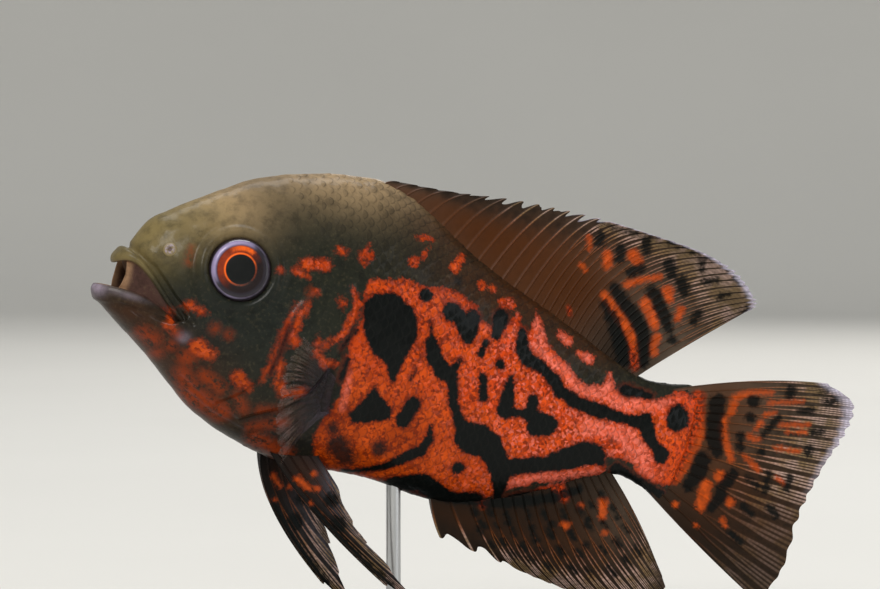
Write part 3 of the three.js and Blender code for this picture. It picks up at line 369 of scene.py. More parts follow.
CAUDAL_BLACK = [
    [[2.7, 0.22, 2.5], [5, 0.24, 2.3], [7.1, 0.28, 2.3], [8.2, 0.33, 1.9]],
    [[9.4, 0.27, 2.4], [10.8, 0.28, 2.4], [11.9, 0.26, 1.8]], [[2.5, 0.41, 1.9]], [[4.3, 0.43, 1.5]],
    [[6.3, 0.42, 1.3], [7.3, 0.45, 1.3]],
    [[9.8, 0.49, 1.7], [10.9, 0.47, 1.7], [11.8, 0.48, 1.7], [12.4, 0.45, 1.3]],
    [[1.1, 0.65, 1.4], [1.7, 0.61, 1.3]], [[4, 0.58, 1], [5.8, 0.55, 1]], [[7.5, 0.59, 1.3]],
    [[9.1, 0.7, 1.1], [10.2, 0.73, 1.1]], [[3.1, 0.74, 1.3], [3.2, 0.68, 0.8]],
    [[1.8, 0.9, 1.1], [2.1, 0.83, 1.2]], [[1, 0.85, 0.9], [0.6, 0.99, 0.7]],
    [[5, 0.81, 1.3], [4.9, 0.87, 1]], [[3, 0.94, 0.9], [3.3, 0.97, 0.8]],
    [[6.5, 0.85, 1.1], [7, 0.86, 0.8]], [[8.9, 0.83, 1], [9.7, 0.85, 1]],
    [[9.7, 0.58, 0.8], [10.1, 0.67, 1]], [[11.5, 0.64, 1], [11.7, 0.71, 1]],
    [[13, 0.63, 1], [13.1, 0.71, 1]], [[11, 0.8, 1], [11.3, 0.86, 1]],
]
ANAL_ORANGE = [
    [[2.9, 0.02, 2], [3.1, 0.1, 1.7]], [[10.8, 0.02, 1.8], [11.2, 0.12, 1.5]],
    [[14.2, 0.32, 1.2], [15, 0.25, 1.4]], [[10.3, 0.3, 1.2]], [[12.6, 0.2, 0.8]], [[13.6, 0.42, 0.7]],
]
ANAL_BLACK = [
    [[0, 0.1, 1.2], [6, 0.1, 1.6], [9.5, 0.1, 1.5], [13, 0.1, 1.2]], [[5, 0.28, 1.2]], [[9, 0.28, 1.2]],
    [[12.6, 0.3, 1]], [[7, 0.42, 1.1]], [[11.2, 0.46, 1.1]], [[15.4, 0.4, 0.8]], [[2.5, 0.4, 1]],
]
PELVIC_ORANGE = [
    [[1.3, 0.22, 0.8], [1.6, 0.3, 0.7]], [[2.4, 0.34, 0.8]], [[3.2, 0.22, 0.7]], [[0.6, 0.4, 0.5]],
]
PELVIC_BLACK = [[[0, 0.5, 1.5], [0.5, 0.9, 1]], [[1.5, 0.55, 2.5]], [[3, 0.5, 2]]]
# Ground colours of the fins: a base, then soft patches of ray, reach, two widths, colour and strength
DORSAL_GROUND = ("fin_grey", [
    (8, 0.3, 10, 0.6, "fin_brown", 1.0), (16, 0.2, 8, 0.35, "fin_brown", 1.0),
    (27, 0.1, 7, 0.3, "fin_dark", 0.95), (3, 0.9, 6, 0.3, "fin_dark", 0.6),
])
ANAL_GROUND = ("fin_dark", [
    (16, 0.6, 4, 0.4, "fin_grey", 0.6), (10, 0.5, 5, 0.3, "fin_brown", 0.35),
    (2, 0.6, 3, 0.5, "fin_brown", 0.3),
])
CAUDAL_GROUND = ("fin_grey", [
    (5, 0.25, 7, 0.28, "fin_brown", 0.85), (14.5, 0.5, 5, 0.9, "fin_dark", 1.0),
    (10.5, 0.6, 3, 0.5, "fin_brown", 0.7),
])
PELVIC_GROUND = ("pelvic", [
    (3, 0.2, 2, 0.2, "fin_brown", 0.3), (4.5, 0.8, 1.5, 0.4, "rim", 0.25), (2.4, 0.9, 0.8, 0.3, "rim", 0.2),
])
PECTORAL_GROUND = ("pectoral", [(6, 0.0, 8, 0.15, "fin_brown", 0.5)])

# Stage: lamps of name, place, power, width, height and colour, and the camera, in metres
LAMP_AIM = (0.02, 0.0, 0.09)
LAMPS = [
    ("key", (-0.9, -1.5, 1.5), 29.0, 1.0, 0.8, (1.0, 0.97, 0.92)),
    ("top", (0.1, 0.5, 1.9), 15.0, 1.3, 0.6, (0.96, 0.98, 1.0)),
    ("fill", (1.6, -1.4, 0.6), 7.0, 1.2, 1.2, (0.92, 0.95, 1.0)),
    ("rim", (1.0, 1.6, 1.0), 9.0, 1.2, 0.8, (1.0, 0.98, 0.96)),
]
CAMERA_PLACE = (-0.1894258, -0.8763887, 0.1361767)
CAMERA_AIM = (0.0129068, 0.00001, 0.104767)
CAMERA_LENS = 136.4
FLOOR_RADIUS = 4.2
FLOOR_RISE = 2.6
FLOOR_ROUND = 96
FLOOR_RINGS = 59

SIDES = (("left", True), ("right", False))


def smooth(value, low, high):
    """Rises from 0 at low to 1 at high: three times the square of the share between them, less twice its
    cube."""
    t = np.clip((value - low) / (high - low), 0, 1)
    return t * t * (3 - 2 * t)


def hump(distance, width):
    """A soft hump: e to the minus (distance over width) squared."""
    return np.exp(-((distance / width) ** 2))


def unit(vector):
    """Each vector at length one."""
    return vector / np.maximum(np.linalg.norm(vector, axis=-1, keepdims=True), 1e-9)


def circle(count):
    """The angles of count even places round a circle."""
    return np.arange(count) * 2 * math.pi / count


def run_along(points):
    """The length of a line up to each of its points."""
    return np.concatenate([[0], np.cumsum(np.linalg.norm(np.diff(points, axis=0), axis=1))])


def side_view(p):
    """The x and z of points."""
    return np.stack([p[..., 0], p[..., 2]], -1)


def curve_through(table, knots, at):
    """A smooth curve through the rows of a table: a cubic Hermite curve whose slope at each row is that of
    the chord between its two neighbours."""
    at = np.asarray(at, float)
    i = np.clip(np.searchsorted(knots, at, side="left") - 1, 0, len(knots) - 2)
    before = np.maximum(np.arange(len(knots)) - 1, 0)
    after = np.minimum(np.arange(len(knots)) + 1, len(knots) - 1)
    slope = (table[after] - table[before]) / (knots[after] - knots[before])[:, None]
    step = (knots[i + 1] - knots[i])[..., None]
    t = (at - knots[i])[..., None] / step
    rise = t * t * (3 - 2 * t)
    return (table[i] * (1 - rise) + table[i + 1] * rise
            + step * (slope[i] * t * (1 - t) ** 2 + slope[i + 1] * t * t * (t - 1)))


def line_gap(spot, line):
    """Distance from each spot to a line, less the line's half width: the least, over the line's lengths, of
    the distance to the nearest place on that length less the half width there."""
    line = np.asarray(line, float)
    ends = zip(line, line) if len(line) == 1 else zip(line[:-1], line[1:])
    gap = np.full(spot.shape[:-1], 1e3)
    for a, b in ends:
        run = b[:-1] - a[:-1]
        t = np.clip(((spot - a[:-1]) @ run) / max(run @ run, 1e-9), 0, 1)
        off = np.linalg.norm(spot - a[:-1] - t[..., None] * run, axis=-1)
        gap = np.minimum(gap, off - a[-1] - t * (b[-1] - a[-1]))
    return gap


def outline_gap(spot, outline):
    """Signed distance to a closed outline, negative inside: the least distance to its edges, with the sign
    from the number of edges that a line straight ahead would cross."""
    outline = np.asarray(outline, float)
    gap = np.full(spot.shape[:-1], 1e3)
    inside = np.zeros(spot.shape[:-1], bool)
    x, z = spot[..., 0], spot[..., 1]
    for a, b in zip(outline, np.roll(outline, -1, 0)):
        run = b - a
        t = np.clip(((spot - a) @ run) / (run @ run), 0, 1)
        gap = np.minimum(gap, np.linalg.norm(spot - a - t[..., None] * run, axis=-1))
        if a[1] != b[1]:
            inside ^= ((a[1] > z) != (b[1] > z)) & (x < a[0] + run[0] * (z - a[1]) / run[1])
    return np.where(inside, -gap, gap)


def least_gap(spot, lines):
    """Distance to the nearest of some lines, less its half width."""
    return np.min([line_gap(spot, line) for line in lines], axis=0)


def place(p):
    """The straight fish in its pose, in metres. x becomes the angle along one arc, and y adds to the arc's
    radius. The whole is then pitched nose-up and moved until the rod's root is in its place."""
    def pose(q):
        turn = (q[..., 0] - BEND_CENTRE_X) / BEND_RADIUS
        x = (BEND_RADIUS + q[..., 1]) * np.sin(turn)
        y = (BEND_RADIUS + q[..., 1]) * np.cos(turn) - BEND_RADIUS
        z = q[..., 2]
        return np.stack([x * math.cos(PITCH) + z * math.sin(PITCH), y,
                         -x * math.sin(PITCH) + z * math.cos(PITCH)], -1)
    root = pose(np.array([ROD_ROOT_X, 0, ROD_ROOT_Z]))
    return (pose(p) - root + np.array([0, 0, ROD_ROOT_HEIGHT])) * MM


# The skin

def skin_point(ring, turn):
    """A point of the bare skin. ring picks the section, turn goes round it from the back, left side first.
    up and down ramp from the side to the back and belly, and y is the half width times |sin turn| to a
    power that sharpens the back and keel. Inside the lips the skin comes forward to the oval edge of the
    gape."""
    tx, tz, sx, sz, bx, bz, half, back, keel, arch, bow, soft = np.moveaxis(
        curve_through(SECTIONS, np.arange(len(SECTIONS)), ring), -1, 0)
    c = np.cos(turn)
    s = np.sin(turn)

    def ramp(v):
        return (v + np.sqrt(v * v + soft * soft) + 1 - np.sqrt(1 + soft * soft)) / 2

    up = ramp(c)
    down = ramp(-c)
    sharp = np.where(c > 0, back, keel)
    y = half * np.abs(s) ** (1 + (sharp - 1) * c * c)
    x = sx + (tx - sx) * up + (bx - sx) * down
    z = (sz + (tz - sz) * up + (bz - sz) * down + arch * 4 * up * (1 - up) + bow * 4 * down * (1 - down)
         + LIP_PEAK * hump(ring - 4, 1.7) * 9.5 * up ** 3 * (1 - up))
    p = np.stack([x, np.where(s >= 0, -y, y), z], -1)
    gape = np.stack([GAPE_X + 0 * s, -GAPE_HALF_WIDTH * s, GAPE_Z + GAPE_HALF_HEIGHT * c], -1)
    share = smooth(ring, 1.9, 2.9) * (1 - smooth(ring, 3.2, 4.3))
    return p + (gape - p) * np.asarray(share)[..., None]


def skin_slopes(ring, turn):
    """Slopes of the bare skin along ring and turn, from points a little to each side."""
    e = 0.004
    low, high = np.clip(ring - e, 0, LAST_SECTION), np.clip(ring + e, 0, LAST_SECTION)
    along = (skin_point(high, turn) - skin_point(low, turn)) / (high - low)[..., None]
    across = (skin_point(ring, turn + e) - skin_point(ring, turn - e)) / (2 * e)
    return along, across


def wobble(x, z, y):
    """A gentle unevenness, the sum of three crossed waves."""
    return (np.sin(x * 0.43 + z * 0.17 + y * 0.1) * np.sin(z * 0.51 - x * 0.11 + 1.2)
            + 0.6 * np.sin(x * 0.19 - z * 0.83 + 0.4) * np.sin(x * 0.71 + z * 0.27)
            + 0.4 * np.sin(x * 1.31 + z * 0.37 + y * 0.3) * np.sin(z * 1.17 - x * 0.21))


def relief(p, ring, size):
    """How far the skin stands proud of its sections, in mm. It is a sum of soft humps and steps of the
    distance to a line or place: the lid fold and socket, the gill cover and its slit, the folds of the
    head, the joint of the jaws, and the fleshy root of the pectoral fin."""
    spot = side_view(p)
    x, z = np.moveaxis(spot, -1, 0)
    outside = smooth(ring, LIP_CREST, LIP_CREST + 1.6)
    eye = np.hypot(x - size["eye_x"], z - size["eye_z"])
    lid = size["lid_lift"] * hump(eye - 9.9, 1.35) - 0.3 * hump(eye - 12.2, 0.7)
    socket = -3.6 * (1 - smooth(eye, 7.3, 8.3))
    behind = outline_gap(spot, [[-20, -40], *GILL_LINE, [-20, 60]])
    cover = 1 - smooth(outline_gap(spot, GILL_COVER), -2.6, 0.2)
    slit = smooth(z, -30, -24) * (1 - smooth(z, 12.5, 16.5))
    gill = size["gill_lift"] * cover * (1 - smooth(behind, -0.7, 0.1))
    gill -= 0.75 * slit * hump(behind - 0.5, 0.6)
    folds = sum(height * hump(line_gap(spot + np.array([forward, down]), line), width)
                for line, height, width, forward, down in FOLDS)
    joint = 0.45 * hump(np.hypot(x - JAW_JOINT[0], z - JAW_JOINT[1]), 2.0)
    lobe = np.exp(-(((x - PECTORAL_ROOT[0]) / 3.2) ** 2) - ((z - PECTORAL_ROOT[1]) / 4.8) ** 2)
    uneven = 0.07 * wobble(x, z, p[..., 1])
    return outside * (lid + socket + gill + folds + joint + lobe + uneven)


def surface(ring, turn, lift, size):
    """The finished skin: the bare skin moved along its outward normal by its relief and a lift."""
    p = skin_point(ring, turn)
    along, across = skin_slopes(ring, turn)
    return p + unit(np.cross(across, along)) * (relief(p, ring, size) + lift)[..., None]


def on_flank(x, z, left):
    """Ring and turn of the flank's point at x, z in side view: the nearest of a net of points, which is
    drawn in round it four times."""
    first, count = 8, 61
    ring, turn = (first + LAST_SECTION) / 2, math.pi / 2
    reach_ring, reach_turn = (LAST_SECTION - first) / 2, math.pi / 2 - 0.01
    for _ in range(5):
        rings = np.clip(ring + reach_ring * np.linspace(-1, 1, count), first, LAST_SECTION)
        turns = np.clip(turn + reach_turn * np.linspace(-1, 1, count), 0.01, math.pi - 0.01)
        rings, turns = np.meshgrid(rings, turns)
        p = skin_point(rings, turns)
        best = np.argmin(np.hypot(p[..., 0] - x, p[..., 2] - z))
        ring, turn = rings.flat[best], turns.flat[best]
        reach_ring, reach_turn = reach_ring / 12, reach_turn / 12
    return np.array(ring), np.array(turn if left else 2 * math.pi - turn)


# Markings

def varied(p):
    """Side-view places of the markings. The right flank's are shifted by slow waves, so it isn't a mirror
    of the left."""
    x, y, z = np.moveaxis(p, -1, 0)
    shift = smooth(y, 0.5, 4) * (1 - smooth(x, 150, 160))
    return np.stack([x + shift * (2.6 * np.sin(z / 8.5 + 1.3) + 1.5 * np.sin(x / 13)),
                     z + shift * 2.2 * np.sin(x / 10.5 + 0.6) * smooth(x, 20, 50)], -1)


def markings(p):
    """Signed distances in mm to the orange, black, rust and grey markings and the painted pink sheen,
    negative inside.
    """
    spot = varied(p)
    orange = np.minimum(outline_gap(spot, ORANGE_FIELD), least_gap(spot, ORANGE_STROKES + EDGE_DABS))
    patches = np.min([outline_gap(spot, outline) for outline in BLACK_PATCHES], axis=0)
    black = np.minimum(least_gap(spot, BLACK_STROKES), patches)
    return orange, black, *(least_gap(spot, lines) for lines in (PINK_SHEEN_STROKES, RUST_STROKES, GREY_STROKES))


def shade(look, name):
    """A colour of the settings as an array."""
    return np.array(getattr(look, name)[:])


def soft_patches(spot, look, base, patches):
    """A base colour with soft patches laid over it in turn: each is mixed in by its strength times a hump
    of the distance, scaled apart in its two directions."""
    colour = np.broadcast_to(shade(look, base), spot.shape[:-1] + (3,)).copy()
    for u, v, wide_u, wide_v, name, strength in patches:
        off = ((spot[..., 0] - u) / wide_u) ** 2 + ((spot[..., 1] - v) / wide_v) ** 2
        colour += (shade(look, name) - colour) * (strength * np.exp(-off))[..., None]
    return colour


def skin_ground(p, ring, look):
    """The skin's colour under the markings, from olive back, paler with painted light on the nape and
    forehead, to dusky belly, and the brown wall, pale edge and dark hollow of the mouth."""
    ground = soft_patches(side_view(p), look, "dusk", SKIN_PATCHES)
    edge = (1 - smooth(ring, 3.9, 4.2)) * (1 - smooth(p[..., 0], 5.0, 6.6))
    wall, hollow = 1 - smooth(ring, 4.0, 4.5), 1 - smooth(ring, 2.3, 2.9)
    for name, share in (("inner", wall), ("lip", edge), ("mouth", hollow)):
        ground += (shade(look, name) - ground) * share[..., None]
    return ground


# Meshes

def add_piece(name, points, faces, finish, replaces=(), values=None, colours=None, patches=None,
              sharp=None):
    """Makes one piece of the object from placed points in metres and arrays of quads or triangles, with its
    attributes, finish and the CAD nodes that it stands for."""
    points = np.ascontiguousarray(points.reshape(-1, 3), np.float32)
    corners = np.concatenate([f.ravel() for f in faces]).astype(np.int32)
    counts = np.concatenate([np.full(len(f), f.shape[1], np.int32) for f in faces])
    mesh = bpy.data.meshes.new(name)
    mesh.vertices.add(len(points))
    mesh.vertices.foreach_set("co", points.ravel())
    mesh.loops.add(len(corners))
    mesh.loops.foreach_set("vertex_index", corners)
    mesh.polygons.add(len(counts))
    mesh.polygons.foreach_set("loop_start", np.concatenate([[0], np.cumsum(counts)[:-1]]).astype(np.int32))
    mesh.polygons.foreach_set("use_smooth", np.ones(len(counts), bool))
    mesh.update(calc_edges=True)
    for key, data in (values or {}).items():
        vector = data.ndim > 1
        layer = mesh.attributes.new(key, "FLOAT_VECTOR" if vector else "FLOAT", "POINT")
        layer.data.foreach_set("vector" if vector else "value", data.astype(np.float32).ravel())
    for key, data in (colours or {}).items():
        layer = mesh.attributes.new(key, "FLOAT_COLOR", "POINT")
        rgba = np.concatenate([data.reshape(-1, 3), np.ones((len(points), 1))], 1)
        layer.data.foreach_set("color", rgba.astype(np.float32).ravel())
    if patches is not None:
        layer = mesh.uv_layers.new(name="OFBake")
        layer.data.foreach_set("uv", patches.reshape(-1, 2)[corners].astype(np.float32).ravel())
    if sharp:
        mesh.set_sharp_from_angle(angle=sharp)
    mesh.materials.append(finish)
    piece = bpy.data.objects.new(name, mesh)
    bpy.context.scene.collection.objects.link(piece)
    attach(piece, "root")
    if replaces:
        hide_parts(*replaces)
    return piece


def tube_faces(rows, round_):
    """Quads of a tube of rows by round_ points, and the triangles to a pole at each end, facing out."""
    i, j = np.meshgrid(np.arange(rows - 1), np.arange(round_), indexing="ij")
    here, ahead = i * round_, (i + 1) * round_
    k = (j + 1) % round_
    quads = np.stack([here + j, here + k, ahead + k, ahead + j], -1).reshape(-1, 4)
    a = np.arange(round_)
    b = (a + 1) % round_
    last = (rows - 1) * round_
    pole = np.full(round_, rows * round_)
    caps = [np.stack([b, a, pole], -1), np.stack([last + a, last + b, pole + 1], -1)]
    return [quads, np.concatenate(caps)]


def with_poles(grid):
    """The grid's points in a list, followed by the middles of its first and last rows."""
    flat = grid.reshape(-1, grid.shape[-1])
    return np.concatenate([flat, grid[:1].mean(1), grid[-1:].mean(1)])


# Finishes

class Value:
    """A number or colour on a socket. Arithmetic between values adds Math nodes."""

    def __init__(self, shop, socket):
        self.shop = shop
        self.socket = socket

    def math(self, operation, *others):
        return self.shop.node("ShaderNodeMath", {"operation": operation}, dict(enumerate((self, *others))))

    def __add__(self, other):
        return self.math("ADD", other)

    __radd__ = __add__

    def __mul__(self, other):
        return self.math("MULTIPLY", other)

    __rmul__ = __mul__

    def __sub__(self, other):
        return self.math("SUBTRACT", other)

    def __rsub__(self, other):
        return self.shop.node("ShaderNodeMath", {"operation": "SUBTRACT"}, {0: other, 1: self})

    def least(self, other):
        return self.math("MINIMUM", other)

    def rise(self, low, high):
        """0 below low, 1 above high, smooth between."""
        return self.shop.node("ShaderNodeMapRange", {"interpolation_type": "SMOOTHSTEP"},
                              {"Value": self, "From Min": low, "From Max": high})

    def fall(self, low, high):
        """1 below low, 0 above high, smooth between."""
        return 1 - self.rise(low, high)


class Finish:
    """A material under construction."""

    def __init__(self, name):
        self.material = bpy.data.materials.new(name)
        self.material.use_nodes = True
        self.tree = self.material.node_tree
        self.tree.nodes.clear()

    def node(self, kind, settings=None, inputs=None, out=0):
        """Adds a node, makes its settings, fills or links its sockets, and returns one output."""
        made = self.tree.nodes.new(kind)
        for key, setting in (settings or {}).items():
            setattr(made, key, setting)
        for key, given in (inputs or {}).items():
            if isinstance(given, Value):
                self.tree.links.new(given.socket, made.inputs[key])
            elif given is not None:
                made.inputs[key].default_value = given
        return Value(self, made.outputs[out]) if made.outputs else None

    def attribute(self, name, out="Fac"):
        return self.node("ShaderNodeAttribute", {"attribute_name": name}, out=out)

    def parts(self, vector):
        split = self.node("ShaderNodeSeparateXYZ", inputs={0: vector})
        return [Value(self, socket) for socket in split.socket.node.outputs]

    def noise(self, where, scale, detail=2.0, roughness=0.5):
        return self.node("ShaderNodeTexNoise", inputs={"Vector": where, "Scale": scale, "Detail": detail,
                                                       "Roughness": roughness})

    def cells(self, where, scale, out=0):
        return self.node("ShaderNodeTexVoronoi", inputs={"Vector": where, "Scale": scale}, out=out)

    def mix(self, share, first, second):
        first, second = (c if isinstance(c, Value) else (*c[:3], 1.0) for c in (first, second))
        return self.node("ShaderNodeMix", {"data_type": "RGBA", "clamp_factor": True},
                         {0: share, 6: first, 7: second}, out=2)

    def bump(self, height, distance, strength=1.0):
        return self.node("ShaderNodeBump", inputs={"Height": height, "Distance": distance,
                                                   "Strength": strength})

    def shell(self, sockets):
        """The surface itself. Sockets with plain numbers are set on it directly."""
        shaded = self.node("ShaderNodeBsdfPrincipled", inputs=sockets)
        self.node("ShaderNodeOutputMaterial", inputs={"Surface": shaded})
        return self.material


def tint(code):
    """A linear colour from a six-figure sRGB code."""
    parts = [int(code[i:i + 2], 16) / 255 for i in (0, 2, 4)]
    return tuple(c / 12.92 if c <= 0.04045 else ((c + 0.055) / 1.055) ** 2.4 for c in parts)


def marked(finish, look, ground, orange, black, pink, rust, grey, where):
    """The markings laid over a ground colour: granular orange that runs from burnt orange low in front to
    pinkish red at the tail, with a painted pink sheen, and black with ragged edges. Those of the head fade
    out more softly."""
    grain = finish.noise(where, 1.4, 3.0, 0.6)
    patchy = finish.noise(where, 0.4, 3.0, 0.55)
    glow = finish.noise(where, 0.13, 2.0)
    ragged = (grain - 0.5) * 2.0 + (patchy - 0.5) * 2.6
    tone, second, _ = finish.parts(finish.cells(where, 1.35, out="Color"))
    x, _, z = finish.parts(where)
    head = x.fall(58, 68)
    rear = x.rise(86, 128)
    high = (z + x * 0.1).rise(-12, 12)
    granular = (rear * 0.75 + high * 0.5 + head * 0.3).least(1.0)
    hot = finish.mix((rear * 0.75 + high * 0.6).least(1.0), look.orange_low, look.orange)
    hot = finish.mix((glow + patchy * 0.5).rise(0.55, 0.95) * 0.5, hot, look.orange_bright)
    hot = finish.mix(tone.rise(0.25, 1.0) * granular * 0.6, hot, look.orange_deep)
    hot = finish.mix((patchy + tone * 0.35).rise(0.62, 0.85) * (0.75 - rear * 0.35), hot, look.orange_deep)
    # Painted sheen: fine pink glints in the grain, more on the top and rear, then the strokes of pink sheen
    pinkish = second.rise(0.55, 0.95) * granular * (0.35 + rear * 0.4) * x.fall(150, 170)
    hot = finish.mix(pinkish, hot, look.pink)
    hot = finish.mix(pink.fall(-1.4, 1.2) * (0.25 + second * 0.75) * x.fall(154, 166) * 0.9, hot, look.pink)
    hot = finish.mix((orange + ragged * 0.6).rise(-1.9, 0.0) * 0.55, hot, look.orange_deep)
    stain = (rust + ragged * 1.6).fall(-2.0, 1.7) * (patchy + grain * 0.6).rise(0.58, 0.92)
    stained = finish.mix(stain, ground, look.rust)
    share = (orange + ragged * (1 + head * 0.35)).fall(head * -0.9 - 0.5, head * 0.5 + 0.4)
    coloured = finish.mix(share * (1 - head * 0.12), stained, hot)
    coloured = finish.mix((grey + ragged * 1.2).fall(-1.6, 1.0) * 0.92, coloured, look.belly)
    near = (black + ragged * 0.9).fall(-0.2, 1.5) * 0.45
    coloured = finish.mix(near, coloured, look.orange_deep)
    return finish.mix((black + ragged * 0.75).fall(-0.45, 0.45), coloured, look.black), grain


def skin_finish(look):
    """Skin and scales: the ground colour, markings with a painted pink sheen, darker scale rims and a wet
    sheen.
    """
    if "fish_skin" in bpy.data.materials:
        return bpy.data.materials["fish_skin"]
    f = Finish("fish_skin")
    where = f.attribute("straight", "Vector")
    ground = f.attribute("ground", "Color")
    orange, black, pink = f.parts(f.attribute("marks", "Vector"))
    rust, grey, hue = f.parts(f.attribute("stains", "Vector"))
    rim, inside, _ = f.parts(f.attribute("plate", "Vector"))
    mottle = f.noise(where, 0.3, 4.0, 0.65)
    ground = f.mix(mottle.rise(0.4, 0.75) * 0.45, ground, look.black)
    ground = f.mix(f.noise(where, 1.1, 3.0).rise(0.5, 0.8) * 0.1, ground, look.speckle)
    colour, grain = marked(f, look, ground, orange, black, pink, rust, grey, where)
    colour = f.mix(rim.rise(0.7, 1.0) * 0.4, colour, (0.012, 0.012, 0.01))
    colour = f.mix((hue + 1) * 0.12, colour, (0.0, 0.0, 0.0))
    pores = f.cells(where, 1.3)
    height = grain * 0.5 + f.noise(where, 0.6, 3.0) * 0.8 - pores.fall(0.0, 0.25) * 0.35
    return f.shell({"Base Color": colour, "Roughness": 0.3 + mottle * 0.2 + rim * 0.06 + inside * 0.4,
                    "Normal": f.bump(height, 0.00012, 0.8), "Coat Weight": 0.13 * (1 - inside),
                    "Coat Roughness": 0.12, "Specular IOR Level": 0.08})


def fin_finish(look, clear=0.0):
    """Fin membrane and rays: pale rays over dusky membrane, cross lines where a ray is jointed, markings
    and a pale rim. clear is how far the membrane lets light through."""
    name = "clear_membrane" if clear else "fin_membrane"
    if name in bpy.data.materials:
        return bpy.data.materials[name]
    f = Finish(name)
    where = f.attribute("straight", "Vector")
    ground = f.attribute("ground", "Color")
    orange, black, rim = f.parts(f.attribute("marks", "Vector"))
    ridge, reach, along = f.parts(f.attribute("fin", "Vector"))
    grain = f.noise(where, 1.1, 3.0)
    streak = f.noise(where, 0.5, 2.0)
    cloud = f.noise(where, 0.16, 2.0)
    ragged = (grain - 0.5) * 2.2 + (streak - 0.5) * 1.8
    line = ridge.rise(0.25, 0.85)
    joints = (along * 5.2).math("SINE") * 0.5 + 0.5
    outer = reach.rise(0.35, 0.7)
    web = f.mix((1 - ridge) * (0.25 + outer * 0.5) * (0.5 + streak), ground, look.web)
    outer_ray = f.mix(cloud.rise(0.4, 0.6), look.ray_tan, look.ray)
    lined = f.mix(reach.rise(0.4, 0.85), look.ray_inner, outer_ray)
    x, _, z = f.parts(where)
    soft = (1 - x.fall(98, 108) * z.rise(4, 12) * 0.8) * (1 - x.rise(166, 172) * z.fall(-16, -3) * 0.85)
    web = f.mix(soft * line * (0.5 + grain) * (0.3 + outer * 0.7) * reach.rise(0.1, 0.6) * 0.8, web, lined)
    hot = f.mix(streak.rise(0.4, 0.7), look.fin_orange, look.orange_bright)
    hot = f.mix(reach.fall(0.14, 0.22), hot, f.mix(grain.rise(0.4, 0.65), look.orange_deep, look.orange))
    web = f.mix((orange + ragged).fall(-0.9, 0.8) * (0.45 + 0.35 * ridge + 0.4 * grain), web, hot)
    web = f.mix((black + ragged).fall(-0.8, 0.8) * 0.93, web, look.black)
    web = f.mix(rim * (0.3 + line * 0.5 + grain * 0.4), web, look.rim)
    web = f.mix(joints * ridge * reach.rise(0.25, 0.5) * 0.3, web, (0.02, 0.015, 0.012))
    height = ridge * (0.7 + joints * 0.3) + grain * 0.25
    sockets = {"Base Color": web, "Roughness": 0.42 + grain * 0.15, "Normal": f.bump(height, 0.00018, 0.8),
               "Coat Weight": 0.03, "Coat Roughness": 0.2, "Specular IOR Level": 0.09}
    if clear:
        sockets["Alpha"] = 1 - clear * (1 - ridge * 0.2) * (0.35 + reach.rise(0.0, 0.2) * 0.65)
    return f.shell(sockets)


# Fins

def fin_ray(keys, ray, reach):
    """A point of one ray: a quadratic curve from its root past its bend to its tip, each smooth through the
    key rays."""
    v = curve_through(keys[:, 1:], keys[:, 0], ray)
    r = np.asarray(reach)[..., None]
    return v[..., 0:3] * (1 - r) ** 2 + v[..., 3:6] * 2 * r * (1 - r) + v[..., 6:9] * r * r


def rows_of_spots(draw, rays, gap, reaches, wide):
    """Short dark dashes along the rays, in rows at some reaches, each a little out of line."""
    return [[[ray + a, reach + b, wide * c], [ray + a + 0.1, reach + b + 0.05, wide * c * 0.8]]
            for reach in reaches for ray in np.arange(*rays, gap)
            for a, b, c in [draw.uniform((-0.35, -0.035, 0.6), (0.35, 0.01, 1.15))]]


def fin_lines(keys, lines):
    """Strokes of ray, reach and half width as lines in the straight fish."""
    made = []
    for line in lines:
        count = len(line)
        at = np.linspace(0, count - 1, 4 * count)
        ray, reach, wide = (np.interp(at, np.arange(count), column) for column in np.array(line, float).T)
        made.append(np.column_stack([fin_ray(keys, ray, reach), wide]))
    return made


